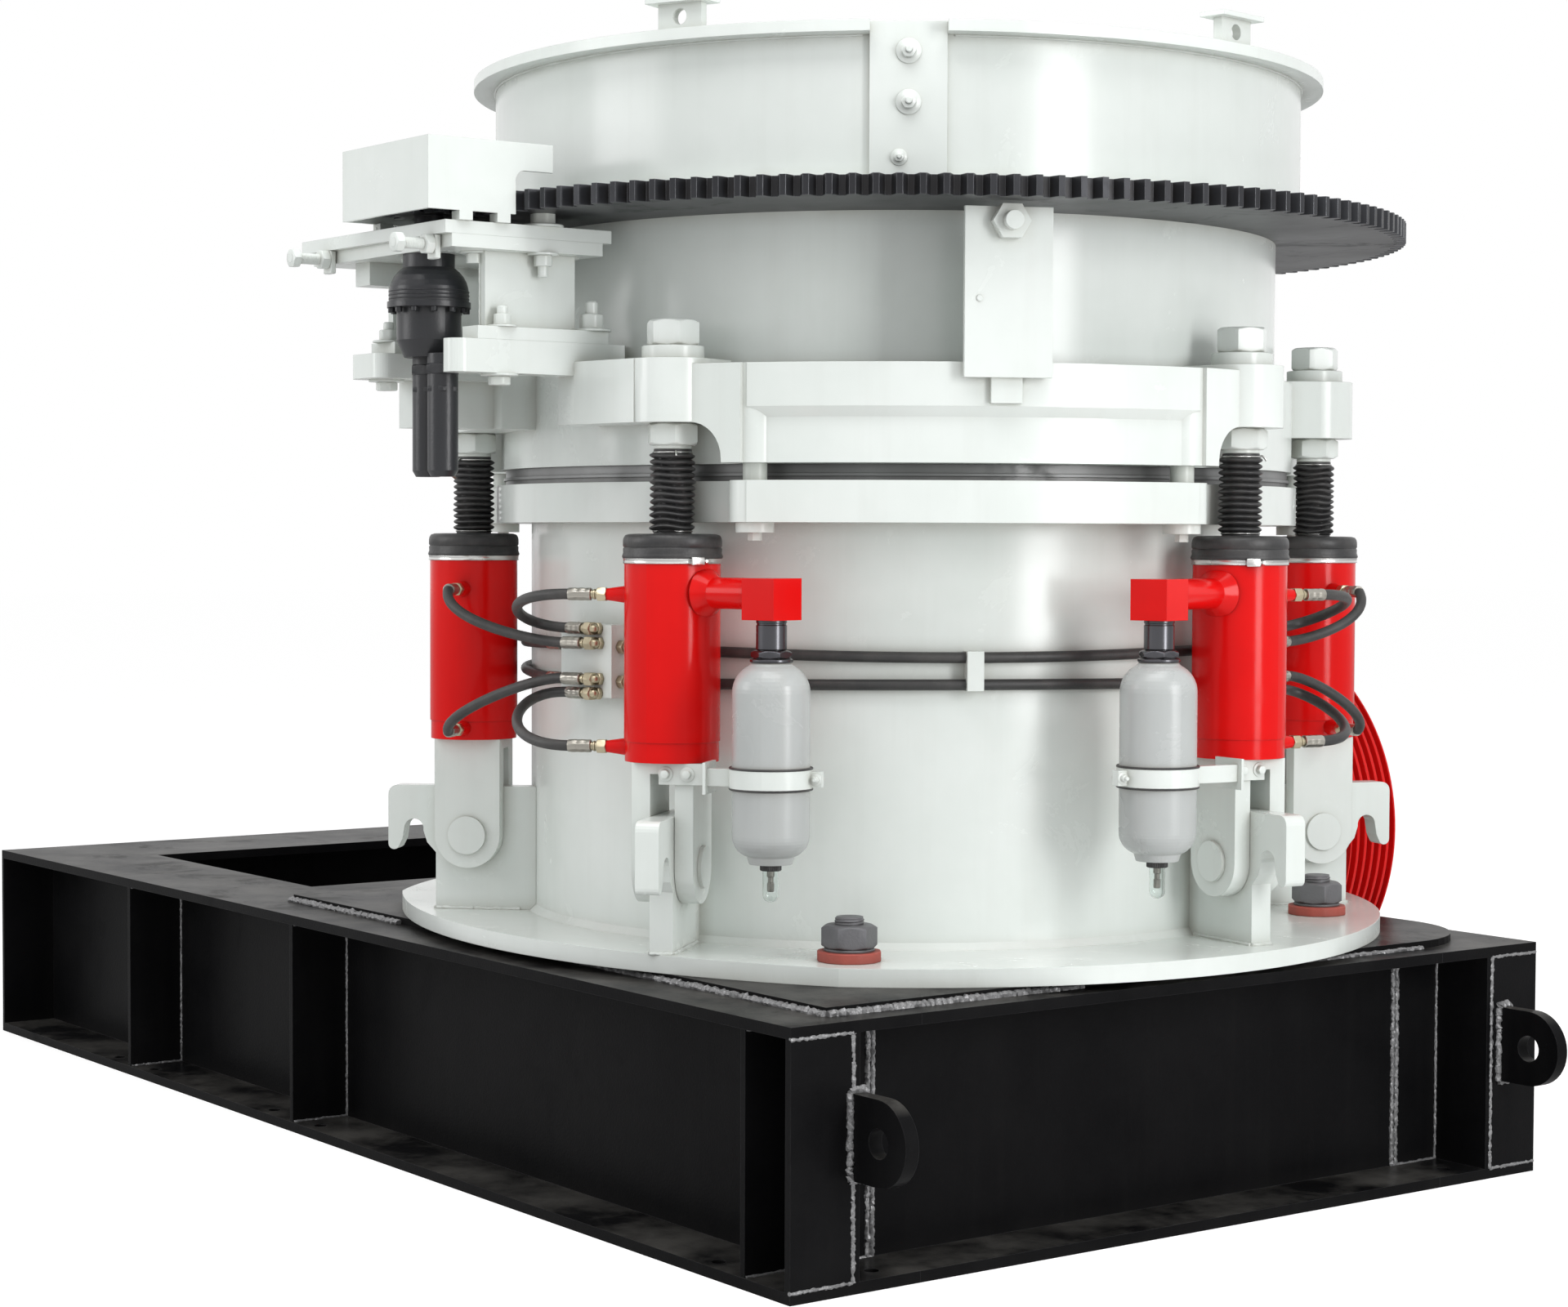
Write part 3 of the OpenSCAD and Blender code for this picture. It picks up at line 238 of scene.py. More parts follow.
def build_enamel_group():
    """Sprayed enamel: fine orange peel, slow waves of the steel below, faint runs down the wall."""
    s, given, give = group("enamel", {"Peel": ("f", 0.3), "Waves": ("f", 0.3)},
                           {"Height": "f", "Cloud": "f", "Runs": "f", "Smudge": "f"})
    place = s.new("TexCoord").outputs["Object"]
    peel = s.noise(place, 210.0, 2.0, 0.4)
    waves = s.noise(place, 7.0, 3.0, 0.5)
    height = s.math("ADD", s.math("MULTIPLY", peel, given["Peel"]), s.math("MULTIPLY", waves, given["Waves"]))
    give("Height", height)
    give("Cloud", s.noise(place, 2.6, 4.0, 0.6))
    runs = s.noise(s.stretch(place, (22.0, 22.0, 1.3)), 1.0, 5.0, 0.6)
    give("Runs", s.ramp(runs, 0.5, 0.75))
    give("Smudge", s.ramp(s.noise(place, 5.5, 6.0, 0.7, 0.6), 0.56, 0.72))


build_edge_group()
build_crevice_group()
build_enamel_group()


def end_material(s, colour, roughness, normal, metallic=0.0, **constants):
    """Joins the results to a Principled shader; constants are set on its own sockets."""
    inputs = {"Base Color": colour, "Roughness": roughness, "Metallic": metallic}
    if normal is not None:
        inputs["Normal"] = normal
    inputs.update({key.replace("_", " "): value for key, value in constants.items()})
    s.new("OutputMaterial", {"Surface": s.new("BsdfPrincipled", inputs).outputs[0]})


def paint(name, colour, shade, roughness=0.2, peel=0.25, waves=0.25, bump=0.12, edge=0.0018, breakup=0.5,
          chip=None, clouds=0.15, dirt=(0.30, 0.26, 0.20), dirt_amount=0.55, reach=0.035, runs=0.10,
          dust=None, soiled=0.4, mottle=(0.16, 0.08, 0.14), metallic=0.0, level=0.5):
    """A finish. The colour clouds into its shade, corners darken with painted shade tinted like dirt, dirt
    runs down walls, dust and a painted sheen lighten faces that look up, and edges wear through. Clouds,
    smudges and the corner shade mask dull the gloss."""
    mat, s = start_material(name)
    edges = s.use("soft_edges", Radius=edge, Breakup=breakup)
    nook = s.use("crevices", Reach=reach)
    skin = s.use("enamel", Peel=peel, Waves=waves)
    base = s.mix(s.ramp(skin["Cloud"], 0.5 - clouds, 0.5 + clouds), colour, shade)
    # Painted shade and dirt: where little sky reaches, the colour moves toward the dirt colour, darkening the
    # light finishes' corners.
    dirt_and_shade_mask = s.math("MULTIPLY", nook["Mask"], dirt_amount)
    base = s.mix(dirt_and_shade_mask, base, dirt)
    if runs:
        base = s.mix(s.math("MULTIPLY", skin["Runs"], runs), base, dirt)
    # Dust and painted sheen: faces that look up lighten in patches, for dust and for the glancing reflection
    # that tops show.
    if dust:
        place = s.new("TexCoord").outputs["Object"]
        lean = s.new("SeparateXYZ", {0: s.new("NewGeometry").outputs["Normal"]}).outputs[2]
        dust_and_sheen_mask = s.math("MULTIPLY", s.ramp(lean, 0.7, 0.98), s.ramp(s.noise(place, 4.0, 7.0, 0.68), 0.40, 0.64))
        base = s.mix(s.math("MULTIPLY", dust_and_sheen_mask, dust[1]), base, dust[0])
    if chip:
        base = s.mix(s.math("MULTIPLY", edges["Mask"], chip[1]), base, chip[0])
    rough = s.math("MULTIPLY_ADD", skin["Cloud"], mottle[0], roughness - mottle[1])
    rough = s.math("MULTIPLY_ADD", skin["Smudge"], mottle[2], rough, clamp=not soiled)
    if soiled:
        rough = s.math("MULTIPLY_ADD", dirt_and_shade_mask, soiled, rough, clamp=True)
    normal = s.new("Bump", {"Height": skin["Height"], "Normal": edges["Normal"], "Strength": bump,
                            "Distance": 0.002}).outputs[0]
    end_material(s, base, rough, normal, metallic, Specular_IOR_Level=level)
    return mat


def metal(name, colour, shade, **look):
    """Bare or plated steel: a finish whose corners darken with painted shade, and bright rubbed edges."""
    # The dark dirt colour here is the painted shade in the steel's corners.
    steel = dict(roughness=0.35, peel=0.4, waves=0.2, bump=0.15, edge=0.0015, breakup=0.4, clouds=0.2,
                 dirt=(0.03, 0.025, 0.02), dirt_amount=0.6, reach=0.02, runs=0.0, soiled=0.0,
                 mottle=(0.25, 0.12, 0.2), metallic=1.0)
    return paint(name, colour, shade, **{**steel, **look})


def dress(mat, *names):
    """Gives a material to CAD nodes, in place of the plain one they came with."""
    for name in names:
        for holder in nodes[name].material_slots:
            holder.material = mat


# Each finish's dirt colour is also the painted shade its corners darken to.
machine_white = paint("machine_white", (0.76, 0.80, 0.775), (0.70, 0.745, 0.715), dirt=(0.33, 0.31, 0.25),
                      runs=0.05)
dress(machine_white, "main_frame", "lug_plates", "clevises", "clevis_pins", "accumulator_clamps",
      "manifold_blocks", "hose_clips", "adjustment_ring", "guide_pins", "gear_brackets", "bowl", "hopper",
      "hopper_joints", "lifting_lugs", "gear_guard", "drive_table", "drive_pedestal", "countershaft_bearing")
cylinder_red = paint("cylinder_red", (0.76, 0.006, 0.005), (0.68, 0.004, 0.004), roughness=0.16,
                     dirt=(0.10, 0.004, 0.003), dirt_amount=0.5, chip=((0.80, 0.05, 0.04), 0.3), runs=0.03,
                     level=0.2)
dress(cylinder_red, "cylinder_tubes", "oil_elbows", "sheave")
# The black's lighter tops are dust and a painted sheen standing for the glancing reflection on the deck and
# beam tops.
base_black = paint("base_black", (0.0045, 0.0045, 0.005), (0.008, 0.008, 0.0085), roughness=0.34, peel=0.5,
                   waves=0.3, bump=0.25, chip=((0.09, 0.09, 0.095), 0.5), dirt=(0.02, 0.019, 0.018),
                   dirt_amount=0.3, level=0.035, dust=((0.085, 0.082, 0.076), 0.8))
dress(base_black, "side_beams", "cross_beams", "closing_plate", "bed_plate", "tow_lugs")
bottle_grey = paint("bottle_grey", (0.47, 0.49, 0.485), (0.42, 0.44, 0.435), roughness=0.26, peel=0.4)
dress(bottle_grey, "accumulator_bottles")
gear_steel = metal("gear_steel", (0.046, 0.048, 0.053), (0.028, 0.028, 0.031), roughness=0.36, metallic=0.5,
                   chip=((0.30, 0.31, 0.33), 0.9), edge=0.002, level=0.2)
dress(gear_steel, "ring_gear", "drive_pinion")
washer_clay = paint("washer_clay", (0.43, 0.080, 0.058), (0.33, 0.064, 0.048), roughness=0.55, peel=0.8,
                    bump=0.3, dirt=(0.06, 0.03, 0.02))
seal_steel = metal("seal_steel", (0.34, 0.35, 0.35), (0.22, 0.22, 0.22), roughness=0.4, metallic=0.8)
dress(seal_steel, "seal_ring")
clamp_steel = metal("clamp_steel", (0.72, 0.72, 0.70), (0.60, 0.60, 0.59), roughness=0.24, peel=0.1,
                    waves=0.1)
zinc_plate = metal("zinc_plate", (0.62, 0.55, 0.38), (0.48, 0.42, 0.30), roughness=0.3,
                   dirt=(0.05, 0.04, 0.03))
liner_iron = metal("liner_iron", (0.17, 0.155, 0.14), (0.11, 0.085, 0.07), roughness=0.55, metallic=0.7,
                   peel=1.0, waves=0.8, bump=0.5)
dress(liner_iron, "bowl_liner", "crushing_head")
motor_black = paint("motor_black", (0.012, 0.013, 0.017), (0.02, 0.021, 0.024), roughness=0.33, peel=0.6,
                    bump=0.25, chip=((0.12, 0.12, 0.13), 0.3), dirt=(0.03, 0.03, 0.03))
dress(motor_black, "drive_motor")


def rubber(name, colour, shade, roughness, grain):
    """Black rubber: fine grain and a dusty bloom in patches."""
    dust, dust_amount = (0.16, 0.15, 0.14), 0.18
    mat, s = start_material(name)
    skin = s.use("enamel", Peel=0.6, Waves=0.4)
    place = s.new("TexCoord").outputs["Object"]
    fine = s.noise(place, grain, 4.0, 0.6)
    base = s.mix(s.ramp(skin["Cloud"], 0.35, 0.65), colour, shade)
    bloom = s.math("MULTIPLY", s.ramp(s.noise(place, 16.0, 5.0, 0.65), 0.42, 0.68), dust_amount)
    base = s.mix(bloom, base, dust)
    rough = s.math("MULTIPLY_ADD", fine, 0.25, roughness - 0.12, clamp=True)
    height = s.math("ADD", s.math("MULTIPLY", fine, 0.6), s.math("MULTIPLY", skin["Height"], 0.6))
    normal = s.new("Bump", {"Height": height, "Strength": 0.35, "Distance": 0.002}).outputs[0]
    end_material(s, base, rough, normal, Specular_IOR_Level=0.5)
    return mat


boot_rubber = rubber("boot_rubber", (0.018, 0.018, 0.019), (0.03, 0.03, 0.031), roughness=0.42, grain=140.0)
hose_rubber = rubber("hose_rubber", (0.024, 0.024, 0.025), (0.038, 0.037, 0.036), roughness=0.48, grain=260.0)

# ------------------------------------------------------------------ welded base
# Two long I-beams joined by four cross beams, a deck plate laid over them and four pulling lugs,
# all fillet welded. The beads stay rough and catch the light through the thin black paint.


def corners(node):
    """Low and high corner of a CAD node's box."""
    return tuple(np.array(corner, float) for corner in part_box(node))


axis_x, axis_y = (sum(corners("bowl")) / 2)[:2]


def piece(name, grids, mat, body="machine", replaces=(), sharp=35.0):
    """Makes one object from closed grids of points, each row joined to the next and its end to its start.
    Coinciding points are merged, faces turned outwards and edges over the angle kept sharp."""
    verts, faces, start = [], [], 0
    for g in grids:
        rows, cols = g.shape[:2]
        verts.append(g.reshape(-1, 3))
        r, c = np.arange(rows - 1)[:, None] * cols + start, np.arange(cols)[None, :]
        n = (c + 1) % cols
        faces.append(np.stack([r + c, r + n, r + cols + n, r + cols + c], -1).reshape(-1, 4))
        start += rows * cols
    mesh = bpy.data.meshes.new(name)
    mesh.from_pydata(np.concatenate(verts).tolist(), [], np.concatenate(faces).tolist())
    made = bmesh.new()
    made.from_mesh(mesh)
    bmesh.ops.remove_doubles(made, verts=made.verts, dist=1e-6)
    bmesh.ops.dissolve_degenerate(made, edges=made.edges, dist=1e-7)
    bmesh.ops.recalc_face_normals(made, faces=made.faces)
    made.to_mesh(mesh)
    made.free()
    mesh.shade_smooth()
    mesh.set_sharp_from_angle(angle=math.radians(sharp))
    mesh.materials.append(mat)
    obj = link(bpy.data.objects.new(name, mesh))
    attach(obj, body)
    if replaces:
        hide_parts(*replaces)


def circle(n):
    """Angles of n evenly spaced points round a circle."""
    return np.linspace(0, 2 * np.pi, n, endpoint=False)


def capped(grid, first, last):
    """Closes both ends of a grid with a row drawn to one point."""
    n = grid.shape[1]
    return np.concatenate([np.repeat([[first]], n, 1), grid, np.repeat([[last]], n, 1)])


def sweep(path, radius, side=(0.0, 0.0, 1.0), around=12, closed=False):
    """Round tube: each path point carries a circle square to the path. One axis of the circle is the
    side vector made square to the path, the other their cross product. Ends close to a point."""
    path = np.asarray(path, float)
    if closed:
        ahead = np.roll(path, -1, 0) - np.roll(path, 1, 0)
    else:
        ahead = np.gradient(path, axis=0)
    ahead /= np.linalg.norm(ahead, axis=1)[:, None]
    side = np.broadcast_to(np.asarray(side, float), path.shape)
    u = side - (side * ahead).sum(1)[:, None] * ahead
    u /= np.linalg.norm(u, axis=1)[:, None]
    v = np.cross(ahead, u)
    turn = circle(around)
    radius = np.broadcast_to(radius, (len(path), around))
    ring = path[:, None] + radius[..., None] * (np.cos(turn)[None, :, None] * u[:, None]
                                                + np.sin(turn)[None, :, None] * v[:, None])
    return np.concatenate([ring, ring[:1]]) if closed else capped(ring, path[0], path[-1])


def along(points, step):
    """Evenly spaced points along a chain of straight runs."""
    points = np.asarray(points, float)
    run = np.concatenate([[0.0], np.cumsum(np.linalg.norm(np.diff(points, axis=0), axis=1))])
    at = np.linspace(0, run[-1], max(int(run[-1] / step), 4) + 1)
    return np.stack([np.interp(at, run, points[:, k]) for k in range(3)], 1)


def bead(points, size, rng, side=(0.3, 0.2, 1.0), rough=0.22, step=0.004):
    """Weld bead: a tube whose radius swells with each drop laid down, a saw wave along the path,
    plus smoothed random lumps around and along it."""
    path = along(points, step)
    n, around = len(path), 8
    lumps = rng.normal(0, 1, (n, around))
    lumps = (lumps + np.roll(lumps, 1, 0) + np.roll(lumps, 1, 1)) / 1.7
    drops = 0.5 * (1 - np.cos(2 * np.pi * (np.arange(n) * step / 0.014 + 0.15 * rng.normal(0, 1, n)))) - 0.5
    radius = size * (1 + 0.16 * drops[:, None] + rough * 0.6 * lumps)
    path = path + rng.normal(0, size * 0.07, path.shape)
    return sweep(path, np.clip(radius, size * 0.4, size * 1.5), side, around)


def build_weld_steel():
    """Bare bead under thin black paint: silver on the crests, black between the drops."""
    mat, s = start_material("weld_steel")
    place = s.new("TexCoord").outputs["Object"]
    point = s.new("NewGeometry").outputs["Pointiness"]
    crest = s.ramp(point, 0.47, 0.56)
    speck = s.ramp(s.noise(place, 260.0, 4.0, 0.7), 0.42, 0.62)
    shown = s.math("MULTIPLY_ADD", crest, 0.6, s.math("MULTIPLY", speck, 0.4), clamp=True)
    colour = s.mix(shown, (0.03, 0.03, 0.031), (0.30, 0.30, 0.305))
    rough = s.math("MULTIPLY_ADD", speck, -0.2, 0.55)
    normal = s.new("Bump", {"Height": s.noise(place, 420.0, 3.0, 0.6), "Strength": 0.5, "Distance": 0.001})
    end_material(s, colour, rough, normal.outputs[0], s.math("MULTIPLY", shown, 0.6))
    return mat


weld_steel = build_weld_steel()


def build_base_welds():
    """Beads along the deck plate, the corner plates, the stiffeners, the end webs and the lugs."""
    rng = np.random.default_rng(11)
    lo, hi = corners("side_beams")
    deck_lo, deck_hi = corners("bed_plate")
    end_x, side_y = (hi - lo)[:2] / 2
    flange, web, beam_w, corner_w, stiffener = 0.022, 0.014, 0.300, 0.142, 0.138
    low, high = lo[2] + flange, hi[2] - flange
    heavy, light, fine = 0.0085, 0.0055, 0.004

    def post(x, y, size):
        """One bead up the height of a web."""
        return [([(x, y, low), (x, y, high)], size)]

    def rungs(x, y0, y1):
        """Thin beads on the lower and on the upper flange."""
        return [([(x, y0, z), (x, y1, z)], fine) for z in (low, high)]

    # deck plate: heavy bead along its long edge, left out where the foot plate hides it
    (x0, y0), (x1, y1), z = deck_lo[:2], deck_hi[:2], hi[2] + 0.002
    runs = [([(x0 - 0.004, y0 - 0.004, z), (axis_x - 0.62, y0 - 0.004, z)], heavy),
            ([(axis_x + 0.10, y0 - 0.004, z), (x1, y0 - 0.004, z)], heavy),
            ([(x1 + 0.004, y0, z), (x1 + 0.004, axis_y - 0.30, z)], heavy),
            ([(x1 + 0.004, axis_y + 0.25, z), (x1 + 0.004, y1 - 0.25, z)], light),
            ([(x0, y0, z), (x0, y1, z)], light),
            ([(x0, y1 + 0.003, z), (x1 - 0.26, y1 + 0.003, z)], heavy)]
    for side in (-1, 1):
        edge = side * side_y
        inner = edge - side * corner_w
        # corner plate: upright bead on its inner edge, thin ones on the beam's end
        runs += post(end_x - 0.003, inner, light) + rungs(end_x - 0.002, edge, inner)
        # stiffeners on both faces of each long beam's web
        for x in (-1.004, -0.104, end_x - beam_w / 2):
            for face in (-1, 1):
                foot = edge - side * beam_w / 2 + face * web / 2
                for u in (x - web / 2, x + web / 2):
                    runs += post(u, foot, fine) + rungs(u, foot, foot + face * stiffener)
        # web of the end beam against the side beam's stiffener, two thick passes
        for v in (side_y - beam_w + 0.004, side_y - beam_w + 0.016):
            runs += post(end_x - beam_w / 2 + web / 2, side * v, light)
    # pulling lugs
    lug_lo, lug_hi = corners("tow_lugs")
    half, z0, z1 = 0.017, lug_lo[2], lug_hi[2] + 0.004
    for x in (-end_x, end_x):
        for y in (lug_lo[1] + 0.015, lug_hi[1] - 0.015):
            round_lug = ((-half, z0), (-half, z1), (half, z1), (half, z0), (-half, z0))
            runs.append(([(x, y + v, z) for v, z in round_lug], heavy))
    piece("base_welds", [bead(points, size, rng) for points, size in runs], weld_steel)


build_base_welds()

# ------------------------------------------------------------------ tramp release cylinders
# Six red hydraulic cylinders hold the adjustment ring down. A steel band with a worm screw closes each
# moulded rubber boot on its tube, and a pleated rubber sleeve covers the rod up to its collar.
foot_top, tube_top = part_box("anchor_washers")[0][2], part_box("boot_clamps")[0][2]
rod_circle, tube_r = 0.945, 0.096
pair_at, clevis_turn = (-88.0, 32.0, 152.0), 17.0


def half_angle(pair, side):
    """Angle from a pair's block to its cylinder; the one behind the adjusting drive stands wider."""
    return 29.0 if pair == 0 and side < 0 else 22.0


def facing(degrees):
    a = math.radians(degrees)
    return np.array([math.cos(a), math.sin(a), 0.0])


def spot(radius, degrees, height=0.0):
    """Point at a radius and an angle round the crusher's axis."""
    return np.array([axis_x, axis_y, height]) + radius * facing(degrees)


cylinders = [(k, s, pair_at[k] + s * half_angle(k, s)) for k in range(3) for s in (-1, 1)]


def put(grid, origin, axis=(0.0, 0.0, 1.0), side=(1.0, 0.0, 0.0)):
    """Moves a grid drawn round the origin: its Z goes along axis, its X as near to side as that allows."""
    z = np.asarray(axis, float) / np.linalg.norm(axis)
    x = np.asarray(side, float) - z * np.dot(side, z)
    x /= np.linalg.norm(x)
    y = np.cross(z, x)
    return np.asarray(origin, float) + grid[..., :1] * x + grid[..., 1:2] * y + grid[..., 2:] * z


def upright(radius, heights, turn):
    """Grid round Z: one row for each height and one column for each angle of turn."""
    up = np.repeat(heights[:, None], len(turn), 1)
    return np.stack([radius * np.cos(turn), radius * np.sin(turn), up], -1)


def turned(profile, around=40, ring=False):
    """Solid of revolution: each (radius, height) of the profile is carried round Z. A ring's profile
    closes on itself, any other one at the axis."""
    p = np.asarray(profile, float)
    p = np.concatenate([p, p[:1]] if ring else [p[:1] * (0, 1), p, p[-1:] * (0, 1)])
    return upright(p[:, :1], p[:, 1], circle(around))


def stacked(outline, rows):
    """Block: a flat outline round the origin, scaled by each row's share and lifted to its height."""
    return np.stack([np.column_stack([outline * share, np.full(len(outline), z)]) for share, z in rows])


def softened(turn, power):
    """Outline between a circle and a square: cosine and sine, each raised to a power with its sign kept."""
    wave = np.column_stack([np.cos(turn), np.sin(turn)])
    return np.sign(wave) * np.abs(wave) ** power


def hexagon(flats, height, around=48):
    """Nut or bolt head: at each height the radius is the smaller of the hexagon's, half the width across
    flats over the cosine of the angle from the nearest flat, and that of a 30 degree cone at the ends."""
    t = circle(around)
    wall = flats / 2 / np.cos((t + np.pi / 6) % (np.pi / 3) - np.pi / 6)
    rise = np.linspace(0, flats * 0.065, 5)
    z = np.concatenate([rise, height - rise[::-1]])
    r = np.minimum(wall, (flats * 0.475 + np.minimum(z, height - z) * 1.732)[:, None])
    return capped(upright(r, z, t), (0, 0, 0), (0, 0, height))


def threaded(radius, z0, z1, pitch, depth, around=24):
    """Screw thread: the radius falls and rises as a triangle wave of height over pitch less turn."""
    z = np.linspace(z0, z1, max(int((z1 - z0) / pitch * 4), 4) + 1)
    t = circle(around)
    wave = np.abs(((z[:, None] / pitch - t / (2 * np.pi)) % 1.0) * 2 - 1)
    fade = 1 - np.clip((z1 - z) / pitch, 0, 1)[:, None]
    return capped(upright(radius - depth * (wave + fade), z, t), (0, 0, z0), (0, 0, z1))


def build_boots():
    """Moulded boots: a ribbed skirt over the tube, a rolled lip above the band and a shoulder."""
    skirt = [(-0.004, 0.0), (0.0035, 0.0), (0.0045, 0.003), (0.0035, 0.006), (0.002, 0.010), (0.0025, 0.018),
             (0.0005, 0.021), (0.0025, 0.024), (0.0025, 0.034), (0.0012, 0.040), (-0.002, 0.045),
             (-0.010, 0.0475), (-0.030, 0.0482), (-0.046, 0.0482), (-0.050, 0.0482)]
    boot = turned([(tube_r + out, z) for out, z in skirt], 64)
    grids = [put(boot, spot(rod_circle, a, tube_top + 0.011), side=facing(a)) for _, _, a in cylinders]
    piece("moulded_boots", grids, boot_rubber, replaces=("dust_boots",), sharp=45.0)


def build_bands():
    """Hose bands: a thin strip with rolled edges round each boot, its worm screw box and hexagon screw."""
    edge = [(-0.0018, 0.0), (0.0024, 0.0), (0.0032, 0.0012), (0.0024, 0.0024)]
    edge += [(out, 0.011 - z) for out, z in edge[::-1]]
    strip = turned([(tube_r + out, z) for out, z in edge], 72, ring=True)
    housing = stacked(softened(circle(24), 0.35) * (0.0062, 0.0085),
                      [(0.0, -0.014), (0.9, -0.014), (1.0, -0.012), (1.0, 0.012), (0.9, 0.014), (0.0, 0.014)])
    screw_at = (-55.0, 60.0, -40.0, 75.0, 35.0, -65.0)
    grids = []
    for (_, _, a), offset in zip(cylinders, screw_at):
        out, way = facing(a + offset), facing(a + offset + 90)
        origin = spot(rod_circle, a, tube_top + 0.0055) + out * (tube_r + 0.0065)
        grids += [put(strip, spot(rod_circle, a, tube_top), side=facing(a)), put(housing, origin, way, out),
                  put(turned([(0.0042, 0.013), (0.0042, 0.017)], 16), origin, way, out),
                  put(hexagon(0.0105, 0.006, 24), origin + way * 0.017, way, out)]
    piece("boot_bands", grids, clamp_steel, replaces=("boot_clamps",))


def build_sleeves():
    """Pleated rod sleeves: the radius is a rounded triangle wave along the rod. Each pleat leans and
    swells a little differently, and the whole sleeve bows and twists by a few millimetres."""
    rng = np.random.default_rng(5)
    z0, z1 = (corner[2] for corner in corners("rod_bellows"))
    pleats, per = 13, 8
    u, t = np.linspace(0, 1, pleats * per + 1), circle(56)
    phase = u * pleats
    sleeves, ties = [], []
    for _, _, a in cylinders:
        lean = sum(rng.normal(0, 0.09) * np.cos(m * t + rng.uniform(0, 6.28) + u[:, None] * rng.normal(0, 5))
                   for m in (1, 2, 3))
        wave = np.sin(np.abs(((phase[:, None] + lean) % 1.0) * 2 - 1) * np.pi / 2) ** 0.8
        swell = 1 + 0.05 * np.interp(phase, np.arange(pleats + 1), rng.normal(0, 1, pleats + 1))
        lumps = sum(rng.normal(0, 0.0005) * np.cos(m * t + rng.uniform(0, 6.28)) for m in (4, 5, 7, 9))
        r = 0.0345 + 0.0105 * wave * swell[:, None] + lumps * wave
        r[:3] = r[-4:] = 0.038
        bow = np.sin(np.pi * u) * rng.normal(0, 0.002)
        sway = np.sin(2 * np.pi * u) * rng.normal(0, 0.0015)
        grid = upright(r, z0 + (z1 - z0) * u, t) + np.column_stack([bow, sway, 0 * u])[:, None]
        sleeves.append(put(capped(grid, (0, 0, z0), (0, 0, z1)), spot(rod_circle, a)))
        for h in (z0 + 0.005, z1 - 0.006):
            ring = [spot(rod_circle, a, h) + facing(b) * 0.0385 for b in np.linspace(0, 360, 41)[:-1]]
            ties.append(sweep(ring, 0.0018, (0, 0, 1), 8, closed=True))
        twist = [spot(rod_circle, a, z1 - 0.006 + h) + facing(a + 40) * (0.0385 + d)
                 for d, h in ((0, 0), (0.003, 0.002), (0.006, 0.001), (0.010, -0.003), (0.013, -0.008))]
        ties.append(sweep(twist, 0.0022, (0.1, 0.2, 1), 8))
    piece("rod_sleeves", sleeves, boot_rubber, replaces=("rod_bellows",), sharp=60.0)
    piece("sleeve_wires", ties, clamp_steel)


def build_rod_ends():
    """Rod ends: a collar above each sleeve, a hexagon nut under the ring's lug, a washer and a thicker
    nut on top, and the rod through the lug."""
    lug_lo, lug_hi, flats, low, thick = 1.602, 1.728, 0.0935, 0.044, 0.026
    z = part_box("rod_bellows")[1][2]
    collar = turned([(0.036, z), (0.038, z + 0.002), (0.038, lug_lo - low)])
    washer = turned([(0.0605, lug_hi), (0.062, lug_hi + 0.0015), (0.062, lug_hi + 0.0245),
                     (0.0605, lug_hi + thick)], 56)
    rod = turned([(0.0359, lug_lo + 0.0002), (0.0359, lug_hi - 0.0002)])
    grids = []
    for i, (_, _, a) in enumerate(cylinders):
        at = spot(rod_circle, a)
        grids += [put(collar, at),
                  put(hexagon(flats, low), at + (0, 0, lug_lo - low), side=facing(a + 7 * i)),
                  put(washer, at),
                  put(hexagon(flats, 0.052), at + (0, 0, lug_hi + thick), side=facing(a + 11 * i + 5)),
                  put(rod, at)]
    piece("rod_end_nuts", grids, machine_white, replaces=("rod_nuts",))


def build_plug():
    """Brownish bleed plug on the side of the wide-set sleeve's collar."""
    brass_plug = metal("brass_plug", (0.30, 0.17, 0.12), (0.20, 0.12, 0.09), roughness=0.42, metallic=0.8)
    a = cylinders[0][2]
    out = facing(a - 62)
    at = spot(rod_circle, a, 1.516) + out * 0.036
    piece("bleed_plug", [put(turned([(0.009, 0), (0.009, 0.016)], 24), at, out),
                         put(hexagon(0.030, 0.020), at + out * 0.014, out)], brass_plug)


build_boots()
build_bands()
build_sleeves()
build_rod_ends()
build_plug()

# ------------------------------------------------------------------ anchor bolts
# Four big studs hold the foot plate down to the base, each with a thick primed washer, a thin plate
# washer and a chamfered nut. They are oiled bare steel.
anchor_steel = metal("anchor_steel", (0.18, 0.18, 0.187), (0.13, 0.13, 0.14), roughness=0.5, metallic=0.55,
                     chip=((0.32, 0.32, 0.33), 0.7), edge=0.0025, peel=0.7, bump=0.3)


